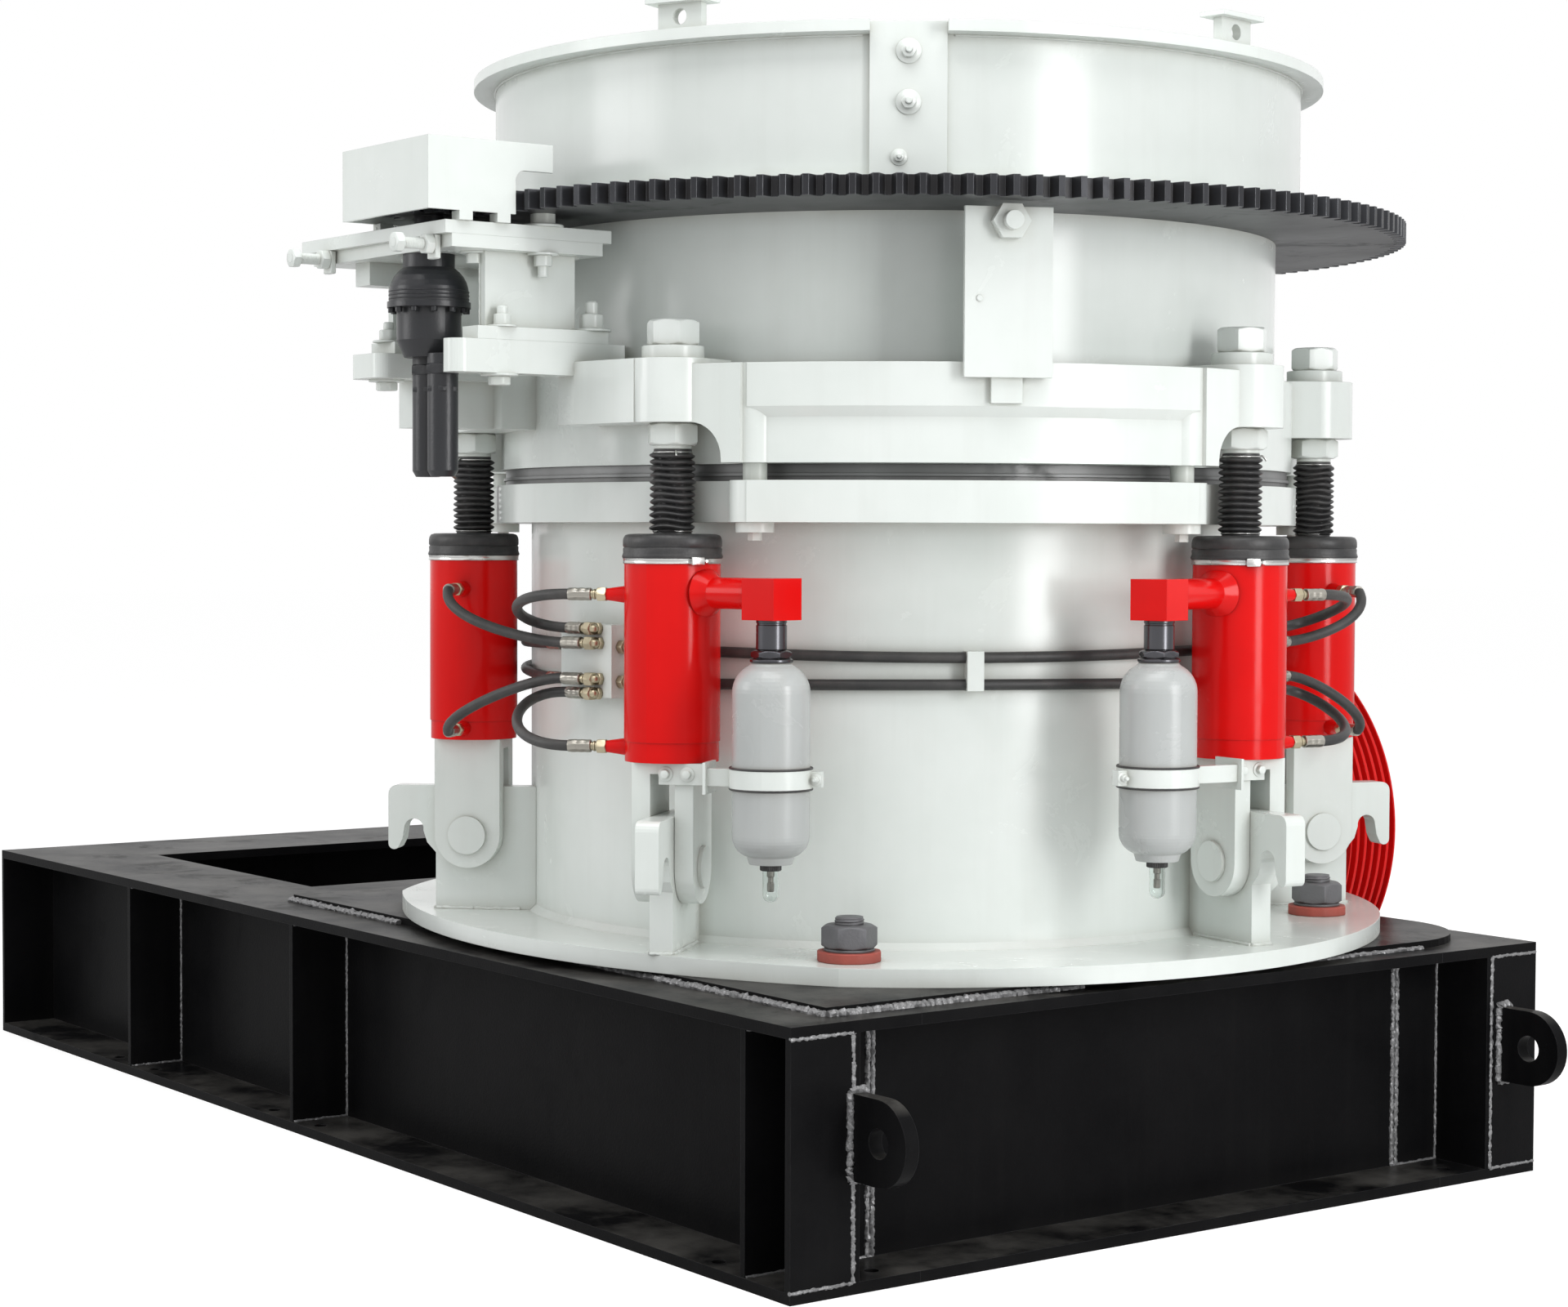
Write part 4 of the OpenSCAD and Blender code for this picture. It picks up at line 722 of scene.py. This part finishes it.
def build_anchors():
    """Washer: a disc whose rim has twelve faint flats. Nut, plate washer and a threaded stud above it."""
    lo, hi = corners("anchor_washers")
    z, t, in_r = hi[2] - lo[2], circle(72), 0.060
    rows = [(0.0, 0.0), (0.98, 0.0), (1.0, 0.0014), (1.0, z - 0.0018), (0.975, z), (0.0, z)]
    plate = turned([(0.049, z), (0.050, z + 0.001), (0.050, z + 0.004), (0.049, z + 0.005)], 56)
    stud = threaded(0.0295, z + 0.049, z + 0.0665, 0.0055, 0.0022, 40)
    steel, clay = [], []
    for i in range(4):
        at = np.array([(lo[0] + in_r, hi[0] - in_r)[i % 2], (lo[1] + in_r, hi[1] - in_r)[i // 2], foot_top])
        rim = 0.0625 - 0.0007 * np.cos(12 * t + i) - 0.0004 * np.cos(5 * t + 2 * i)
        clay.append(put(stacked(rim[:, None] * softened(t, 1.0), rows), at))
        steel += [put(plate, at),
                  put(hexagon(0.0953, 0.046), at + (0, 0, z + 0.005), side=facing(12 + 17 * i)),
                  put(stud, at)]
    piece("anchor_nuts", steel, anchor_steel, replaces=("anchor_bolts",))
    piece("anchor_plates", clay, washer_clay, replaces=("anchor_washers",))


build_anchors()

# ------------------------------------------------------------------ hydraulic hoses
# Rubber hoses with crimped zinc-plated ends join the cylinders to the manifold block of their pair, and
# two run round the barrel from each block to the next. Their routes are those of the solids they replace.
hose_r, fit_l = 0.011, 0.080
port_reach, port_turn, port_z = 0.134, 72.0, (0.958, 1.262)
block_x, block_y, side_x, barrel_r, ring_hose_z = 0.855, (-0.071, 0.113), 0.831, 0.815, (1.150, 1.078)
block_ports = [((0.872, 0.074, 1.157), -72.0), ((0.872, 0.070, 1.187), -86.0),
               ((0.872, 0.074, 1.083), -72.0), ((0.872, 0.070, 1.053), -86.0)]
up, down = (0.0, 0.0, 1.0), (0.0, 0.0, -1.0)


def from_pair(k, local, move=True):
    """Takes points or directions from a pair's own frame, X outwards through its block, to the machine's;
    the second pair is built as in a mirror."""
    p = np.array(local, float) * (1, -1 if k == 1 else 1, 1)
    p = p @ np.array([facing(pair_at[k]), facing(pair_at[k] + 90), up])
    return p + (axis_x, axis_y, 0.0) if move else p


def port_heading(k, s):
    return s * (half_angle(k, s) - port_turn)


def port_mouth(k, s, z, beyond=0.0):
    """End of a cylinder's port, or of the fitting on it, in the pair's frame."""
    return (rod_circle * facing(s * half_angle(k, s)) + (port_reach + beyond) * facing(port_heading(k, s))
            + np.array([0, 0, z]))


def curve(p0, p1, p2, p3, n=56):
    """Cubic Bezier curve of four points."""
    t = np.linspace(0, 1, n)[:, None]
    return p0 * (1 - t) ** 3 + 3 * p1 * (1 - t) ** 2 * t + 3 * p2 * (1 - t) * t * t + p3 * t ** 3


def loop(k, s, z, i, pull_p, pull_q, lift):
    """A hose from a cylinder's port to the block: a Bezier curve that leaves both fittings straight."""
    place, heading = np.array(block_ports[i][0]), facing(block_ports[i][1])
    p, q = port_mouth(k, s, z, fit_l), place + fit_l * heading
    return curve(p, p + pull_p * facing(port_heading(k, s)) + (0, 0, lift), q + pull_q * heading, q)


def round_barrel(p, yp, q, yq, z, dz, n=150):
    """A hose lying on the barrel: its radius eases from the fitting's to the barrel's over four steps of
    twenty-six with the power 1.5, and it sags by a half sine."""
    t = np.linspace(0, 1, n)
    a0, a1 = (angle + math.degrees(math.atan2(y, side_x)) for angle, y in ((p, yp), (q, yq)))
    r = barrel_r + hose_r + 0.002
    out = np.where(t < 0.5, math.hypot(side_x, yp), math.hypot(side_x, yq)) - r
    w = r + out * np.clip(1 - np.minimum(t, 1 - t) * 26 / 4, 0, 1) ** 1.5
    a = np.radians(a0 + (a1 - a0) * t)
    return np.stack([axis_x + w * np.cos(a), axis_y + w * np.sin(a), z - dz * np.sin(np.pi * t)], -1)


def build_hoses():
    """Loops between ports and blocks, and hoses round the barrel, swept with sixteen sides."""
    loops, rings = [], []
    low, high = port_z
    for k in range(3):
        for s, z, *route in ((1, high, 1, 0.170, 0.190, 0.0), (-1, high, 0, 0.070, 0.090, -0.060),
                             (1, low, 3, 0.170, 0.190, 0.0), (-1, low, 2, 0.070, 0.090, 0.040)):
            path = from_pair(k, loop(k, s, z, *route))
            loops.append(sweep(path, hose_r, (0.3, 0.0, 1.0), 16))
    piece("cylinder_hoses", loops, hose_rubber, replaces=("hydraulic_hoses",), sharp=70.0)
    far, near = block_y[1] + fit_l, fit_l - block_y[0]
    a, b, c = (pair_at[0] + turn for turn in (0, 120, 240))
    for z, sag in zip(ring_hose_z, (0.011, -0.007)):
        for run in ((a, far, b, -far), (b, near, c, -near), (c, far, a + 360, -near)):
            rings.append(sweep(round_barrel(*run, z, sag), hose_r, (0, 0, 1), 16))
    piece("barrel_hoses", rings, hose_rubber, replaces=("ring_hoses",), sharp=70.0)


def end_fitting():
    """One hose end along Z: swivel nut, neck with a bead and a ferrule pressed in eight places, whose
    radius dips where the jaws closed."""
    neck = turned([(0.0088, 0.019), (0.0088, 0.023), (0.0105, 0.024), (0.0105, 0.027), (0.0088, 0.028),
                   (0.0088, 0.033)], 32)
    z = np.array([0.032, 0.0322, 0.0335, 0.040, 0.042, 0.047, 0.049, 0.056, 0.058, 0.063, 0.065, 0.073, 0.075,
                  0.0785, 0.080, 0.080])
    r = np.array([0.0, 0.0112, 0.0128, 0.0128, 0.0124, 0.0124, 0.0128, 0.0128, 0.0124, 0.0124, 0.0128, 0.0128,
                  0.0124, 0.0126, 0.0118, 0.0])
    t = circle(48)
    jaws = ((z > 0.036) & (z < 0.074))[:, None] * np.clip(np.cos(8 * t) * 3, -1, 1)
    return hexagon(0.0262, 0.020, 36), neck, upright(r[:, None] - 0.00035 * jaws, z, t)


def build_fittings():
    """Hose ends on ports and blocks. Between a block and its hoses stand hexagon adapters, and the
    hoses' ends are turned off them by elbows."""
    ferrule_parts, plated_parts = [], []
    nut, neck, ferrule = end_fitting()
    for k in range(3):
        spots = [(port_mouth(k, s, z), port_heading(k, s)) for s in (-1, 1) for z in port_z]
        spots += block_ports
        spots += [((side_x, y, z), a) for y, a in ((block_y[1], 90.0), (block_y[0], -90.0))
                  for z in ring_hose_z]
        for place, a in spots:
            at, way = from_pair(k, place), from_pair(k, facing(a), move=False)
            plated_parts += [put(nut, at, way, up), put(neck, at, way, up)]
            ferrule_parts.append(put(ferrule, at, way, up))
        for place, a in block_ports:
            out = from_pair(k, facing(0.0), move=False)
            root, place = np.array((block_x, *place[1:])), np.array(place)
            plated_parts.append(put(hexagon(0.024, 0.009, 36), from_pair(k, root), out, up))
            bend = curve(root + (0.004, 0, 0), root + (0.013, 0, 0), place - 0.004 * facing(a),
                         place + 0.004 * facing(a), 12)
            plated_parts.append(sweep(from_pair(k, bend), 0.0098, (0, 0, 1), 16))
    piece("hose_nuts", plated_parts, zinc_plate, replaces=("hose_fittings",))
    piece("hose_ferrules", ferrule_parts, ferrule_steel)


ferrule_steel = metal("ferrule_steel", (0.50, 0.48, 0.43), (0.36, 0.34, 0.30), roughness=0.3,
                      chip=((0.8, 0.78, 0.72), 0.5), edge=0.001, dirt=(0.05, 0.045, 0.04))
build_hoses()
build_fittings()

# ------------------------------------------------------------------ accumulators
# Grey nitrogen bottles hang from elbows on the cylinders. Each ends below in a gas valve under a clear
# plastic cap with a black knurled collar, and a steel band holds it to a strip on the clevis.
clear_cap, s = start_material("clear_cap")
place = s.new("TexCoord").outputs["Object"]
haze = s.ramp(s.noise(place, 60.0, 4.0, 0.6), 0.35, 0.75, 0.02, 0.14)
tint = s.mix(s.noise(place, 30.0), (0.90, 0.95, 0.94), (0.97, 0.98, 0.97))
end_material(s, tint, haze, None, Transmission_Weight=1.0, IOR=1.45)

# each bottle's angle, its cylinder's angle and the side of the clevis it hangs on
bottles = [(pair_at[0] + 36.5, pair_at[0] + 22.0, 1), (pair_at[0] + 80.0, pair_at[0] + 98.0, -1),
           (pair_at[0] + 276.5, pair_at[0] + 262.0, 1)]
bottle_circle, bottle_r = 1.030, 0.076


def build_valves():
    """Collar: a disc whose rim is a cosine wave of thirty-two grooves. Cap: a thin clear dome, a little
    flatter than round, on a straight wall. Stem: a stepped steel valve inside it."""
    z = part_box("accumulator_bottles")[0][2]
    t, dome = circle(192), np.radians(np.linspace(0, 90, 10))
    rim = (0.0205 + 0.0006 * np.cos(32 * t))[:, None] * softened(t, 1.0)
    rows = ((0.0, 0.0), (0.93, 0.0), (1.0, 0.0015), (1.0, 0.0115), (0.93, 0.013), (0.0, 0.013))
    collar = stacked(rim, [(share, z - drop) for share, drop in rows])
    outer, inner = ([(r, z - 0.0132), (r, z - 0.040)]
                    + [(r * math.cos(b), z - 0.060 - (r - 0.0008) * math.sin(b)) for b in dome]
                    for r in (0.0158, 0.0142))
    cap = turned(outer + inner[::-1], ring=True)
    steps = ((0.0075, 0.013), (0.0075, 0.024), (0.0055, 0.026), (0.0055, 0.036), (0.0070, 0.037),
             (0.0070, 0.052), (0.0058, 0.054))
    stem = turned([(r, z - drop) for r, drop in steps], 24)
    for name, grid, mat, slot, *old in (
            ("valve_collars", collar, boot_rubber, "boot_rubber", "charging_valves"),
            ("valve_caps", cap, clear_cap, "valve_clear"),
            ("valve_stems", stem, ferrule_steel, "zinc_plate")):
        piece(name, [put(grid, spot(bottle_circle, a)) for a, _, _ in bottles], mat, replaces=old)


def build_necks():
    """Neck of each bottle: a hexagon union with a turned collar below the elbow, polished steel. Its dark
    colour is a painted reflection of dark surroundings.
    """
    # Painted reflection: the chrome is given a dark colour to stand for the dark surroundings it mirrors.
    neck_steel = metal("neck_steel", (0.15, 0.15, 0.16), (0.09, 0.09, 0.10), roughness=0.24, peel=0.1,
                       waves=0.1)
    z0, z1 = (corner[2] for corner in corners("accumulator_fittings"))
    base = turned([(0.040, z0), (0.042, z0 + 0.002), (0.042, z0 + 0.006), (0.039, z0 + 0.008)], 48)
    collar = turned([(0.027, z0 + 0.0235), (0.030, z0 + 0.026), (0.030, z1 - 0.010), (0.0285, z1 - 0.009),
                     (0.0285, z1 - 0.006), (0.030, z1 - 0.005), (0.030, z1)], 48)
    grids = []
    for a, _, _ in bottles:
        at = spot(bottle_circle, a)
        grids += [put(base, at),
                  put(hexagon(0.070, 0.016), at + (0, 0, z0 + 0.0075), side=facing(a + 9)),
                  put(collar, at)]
    piece("bottle_necks", grids, neck_steel, replaces=("accumulator_fittings",))


def small_bolt(at, out, flats, head, stem=0.0, tail=0.0, washer=True):
    """Hexagon head or nut on a washer, with a piece of thread standing out of it."""
    out = np.asarray(out, float) / np.linalg.norm(out)
    side = up if abs(out[2]) < 0.95 else (1.0, 0.3, 0.0)
    base, grids = flats * 0.12 if washer else 0.0, []
    if washer:
        wide = flats * 0.92
        grids.append(put(turned([(wide, 0), (wide, base * 0.8), (flats * 0.88, base)], 28), at, out, side))
    grids.append(put(hexagon(flats, head, 30), at + out * base, out, side))
    if stem:
        thread = turned([(stem, 0), (stem, tail - stem * 0.25), (stem * 0.8, tail)], 20)
        grids.append(put(thread, at + out * (base + head), out, side))
    return grids


def build_band_bolts():
    """Bolts of the bottle bands, two through each ear and two that hold the strip to the clevis, and the
    rubber edges that stand out between band and bottle."""
    lo, hi = (corner[2] for corner in corners("accumulator_clamps"))
    lo, hi = lo + 0.012, hi - 0.008
    mid, grids, pads = (lo + hi) / 2, [], []
    for a, base, sign in bottles:
        centre, root = spot(bottle_circle, a, mid), spot(rod_circle, base, mid)
        way, across = facing(base + sign * clevis_turn), facing(base + sign * (clevis_turn + 90))
        ear = centre + across * (bottle_r + 0.015)
        for s in (-1, 1):
            grids += small_bolt(ear + way * s * 0.010, way * s, 0.013, 0.008, 0.004, 0.007 if s > 0 else 0.0)
            grids += small_bolt(root + way * 0.079 + across * (0.030 + 0.022 * s), way, 0.016, 0.010)
        t = circle(72)
        for h in (lo + 0.001, hi - 0.001):
            ring = centre + 0.0795 * (np.cos(t)[:, None] * way + np.sin(t)[:, None] * across)
            ring[:, 2] = h
            pads.append(sweep(ring, 0.0026, (0, 0, 1), 8, closed=True))
    piece("band_bolts", grids, machine_white)
    piece("band_pads", pads, boot_rubber)


build_valves()
build_necks()
build_band_bolts()

# ------------------------------------------------------------------ adjusting drive
# A hydraulic motor turns the ring gear through a pinion under the guard. It hangs under a table bolted on
# two arms of the ring; screws in welded blocks push the table to set the mesh. All but the motor is white.


def by_axis(x, y, z):
    """Point given from the crusher's axis."""
    return np.array([axis_x + x, axis_y + y, z])


def slab(lo, hi, edge=0.002):
    """Block with chamfered edges: a rectangle with cut corners that shrinks by the chamfer at both ends."""
    mid, (x, y, z) = np.add(lo, hi) / 2, np.subtract(hi, lo) / 2
    cx, cy, cut = x - edge, y - edge, edge / min(x, y)
    outline = np.array([(x, cy), (cx, y), (-cx, y), (-x, cy), (-x, -cy), (-cx, -y), (cx, -y), (x, -cy)])
    rows = [(0.0, -z), (1 - cut, -z), (1.0, edge - z), (1.0, z - edge), (1 - cut, z), (0.0, z)]
    return mid + stacked(outline, rows)


def build_jacks():
    """Adjusting screws: a block welded under the table's edge, the screw through it with a lock nut."""
    lo, hi = corners("jack_bolts")
    out, z, edge = lo[1], lo[2] + 0.029, hi[1] - 0.015
    away, grids = (0.0, -1.0, 0.0), []
    screw = threaded(0.0118, 0.0, edge - out + 0.014, 0.0035, 0.0013, 20)
    for x in (lo[0] + 0.021, hi[0] - 0.021):
        grids += [slab((x - 0.017, edge, lo[2]), (x + 0.017, edge + 0.012, hi[2]), 0.0015),
                  put(screw, (x, edge + 0.014, z), away, up),
                  put(hexagon(0.0363, 0.0175, 40), (x, out + 0.018, z), away, up),
                  put(hexagon(0.0363, 0.0195, 40), (x, edge, z), away, up)]
    piece("adjusting_screws", grids, machine_white, replaces=("jack_bolts",))


def build_drive_bolts():
    """Bolts of the drive: on the table and under it, on the feet of its legs and under the arms."""
    table, below, foot, left_foot, under = 1.995, 1.943, 1.792, 1.776, 1.700
    grids = []
    for x, y, z, way, *sizes in (
            (0.160, -1.027, table, up, 0.046, 0.026), (-0.370, -0.930, table, up, 0.046, 0.026),
            (0.171, -1.128, foot, up, 0.032, 0.022, 0.011, 0.016), (0.160, -1.128, under, down, 0.041, 0.018),
            (0.162, -0.913, foot, up, 0.044, 0.030, 0.013, 0.026),
            (-0.190, -1.185, left_foot, up, 0.036, 0.022, 0.011, 0.016),
            (-0.190, -0.985, left_foot, up, 0.036, 0.022, 0.011, 0.016),
            (-0.198, -1.185, under, down, 0.041, 0.018),
            (0.118, -1.160, below, down, 0.032, 0.020), (-0.120, -1.160, below, down, 0.032, 0.020),
            (0.118, -0.950, below, down, 0.032, 0.020), (-0.150, -0.950, below, down, 0.032, 0.020),
            (0.170, -1.033, below, down, 0.034, 0.022, 0.0105, 0.022),
            *((-0.138, y, table, up, 0.014, 0.010) for y in (-1.236, -1.214, -1.192, -1.170))):
        grids += small_bolt(by_axis(x, y, z), way, *sizes)
    piece("drive_bolts", grids, machine_white)


def build_motor_parts():
    """Motor trim: twelve screws under its flange, three cooling bands on the dome, and hose unions where
    the twin pipes enter the body."""
    lo, hi = corners("drive_motor")
    x, y, flange, aside = lo[0] + 0.084, (lo[1] + hi[1]) / 2, 1.835, 0.025
    grids, t = [], circle(64)
    for a in np.arange(12) * 30.0 + 8:
        grids += small_bolt(np.array([x, y, flange]) + 0.0755 * facing(a), down, 0.013, 0.010, washer=False)
    for z, r in ((1.853, 0.0795), (1.8605, 0.0797), (1.868, 0.0795)):
        ring = np.stack([x + r * np.cos(t), y + r * np.sin(t), np.full(64, z)], -1)
        grids.append(sweep(ring, 0.0018, (0, 0, 1), 8, closed=True))
    for s in (-1, 1):
        across = x + aside + s * 0.030
        grids += [put(hexagon(0.064, 0.022, 40), (across, y, 1.700)),
                  put(hexagon(0.060, 0.014, 40), (across, y, 1.664))]
    piece("motor_trim", grids, motor_black)


def build_seams():
    """Painted fillet welds: where the clevises, the manifold blocks and the drive's legs join the castings,
    laid as drops of a bead under the enamel."""
    rng = np.random.default_rng(23)
    runs = []
    for _, s, a in cylinders:
        root = spot(rod_circle, a, foot_top + 0.0015)
        outward, across = facing(a + s * clevis_turn), facing(a + s * clevis_turn + 90)
        for side in (-1, 1):
            foot = root + across * side * 0.0245
            runs.append(([foot - outward * 0.110, foot + outward * 0.078], 0.0045))
        end = root + outward * 0.081
        runs.append(([end - across * 0.024, end + across * 0.024], 0.0040))
    for k in range(3):
        for x, y in ((0.8150, block_y[0] - 0.001), (0.8090, block_y[1] + 0.001)):
            runs.append((from_pair(k, [(x, y, 1.044), (x, y, 1.195)]), 0.0035))
    for x, y0, y1, z0, z1, size in ((0.1508, -1.154, -0.946, 1.7925, 1.7925, 0.0030),
                                    (0.1295, -1.154, -0.946, 1.7925, 1.7925, 0.0035),
                                    (-0.224, -1.154, -0.946, 1.7765, 1.7765, 0.0035),
                                    (0.131, -1.1555, -1.1555, 1.794, 1.942, 0.0025)):
        runs.append(([by_axis(x, y0, z0), by_axis(x, y1, z1)], size))
    welds = [bead(path, size, rng, rough=0.15) for path, size in runs]
    piece("painted_welds", welds, machine_white)


build_jacks()
build_drive_bolts()
build_motor_parts()
build_seams()

# ------------------------------------------------------------------ bowl, gear and hopper
# The hopper is rolled from two half shells bolted through flat joint plates, and screwed down on the
# bowl's flange. Gear and bowl turn together to set the crushing gap.
joints = (-36.8, 143.2)


def build_hopper_bolts():
    """Bolts of the joint plates and of the hopper's foot flange; on the ring, the screws of the sight caps
    and three plugs."""
    face, grids = 0.902, []
    for a in joints:
        out, across = facing(a), facing(a + 90)
        for lateral, z, flats in ((0.0, 2.324, 0.027), (0.0, 2.225, 0.027), (-0.018, 2.118, 0.018)):
            at = spot(face, a, z) + across * lateral
            grids += small_bolt(at, out, flats, flats * 0.62, flats * 0.24, flats * 0.3)
    for a in np.arange(24) * 15.0 + 5.0:
        if min(abs((a - b + 180) % 360 - 180) for b in joints) > 6:
            grids += small_bolt(spot(0.917, a, 2.072), up, 0.018, 0.009)
    piece("hopper_bolts", grids, machine_white, body="bowl_assembly")
    caps, plug = [], turned([(0.0065, 0), (0.0065, 0.002), (0.005, 0.0032)], 20)
    for x, y in ((0.586, -0.683), (0.635, -0.637)):
        a = math.degrees(math.atan2(y, x))
        caps += small_bolt(spot(0.882, a, 1.655), facing(a), 0.018, 0.010)
    for a in (-26.0, 94.0, 214.0):
        caps.append(put(plug, spot(1.023, a, 1.836) - facing(a + 90) * 0.058, facing(a)))
    piece("ring_screws", caps, machine_white)


def build_hopper_seams():
    """Welds of the hopper, round its rim flange and round its foot, from one joint plate to the other."""
    rng = np.random.default_rng(31)
    z_rim, z_foot, r = 2.357, 2.0725, 0.8955
    grids = []
    for start, end in ((-31.0, 137.5), (149.0, 317.5)):
        for z in (z_rim - 0.001, z_foot):
            ring = np.array([spot(r, b, z) for b in np.linspace(start, end, 200)])
            grids.append(bead(ring, 0.0030, rng, rough=0.10, step=0.009))
    piece("hopper_seams", grids, machine_white, body="bowl_assembly")


build_hopper_bolts()
build_hopper_seams()

# ------------------------------------------------------------------ countershaft end
# The belt wheel is held on the countershaft by a locking collar with six screws. The shaft's end is
# centred. All of it is bare steel.


def build_shaft_end():
    """The collar turned with a shallow centre, and the six screws round it."""
    lo, hi = corners("sheave")
    x, z, y = (lo[0] + hi[0]) / 2, (lo[2] + hi[2]) / 2, hi[1]
    out, side = (0.0, 1.0, 0.0), (1.0, 0.0, 0.0)
    collar = turned([(0.0585, 0), (0.0565, 0.0035), (0.012, 0.0035), (0.006, 0.001)], 56)
    grids = [put(collar, (x, y - 0.001, z), out, side)]
    for b in np.radians(np.arange(6) * 60.0 + 15):
        at = np.array([x + 0.068 * math.cos(b), y - 0.0005, z + 0.068 * math.sin(b)])
        grids += small_bolt(at, out, 0.015, 0.0035, washer=False)
    piece("shaft_end", grids, ferrule_steel, body="belt_wheel")


build_shaft_end()
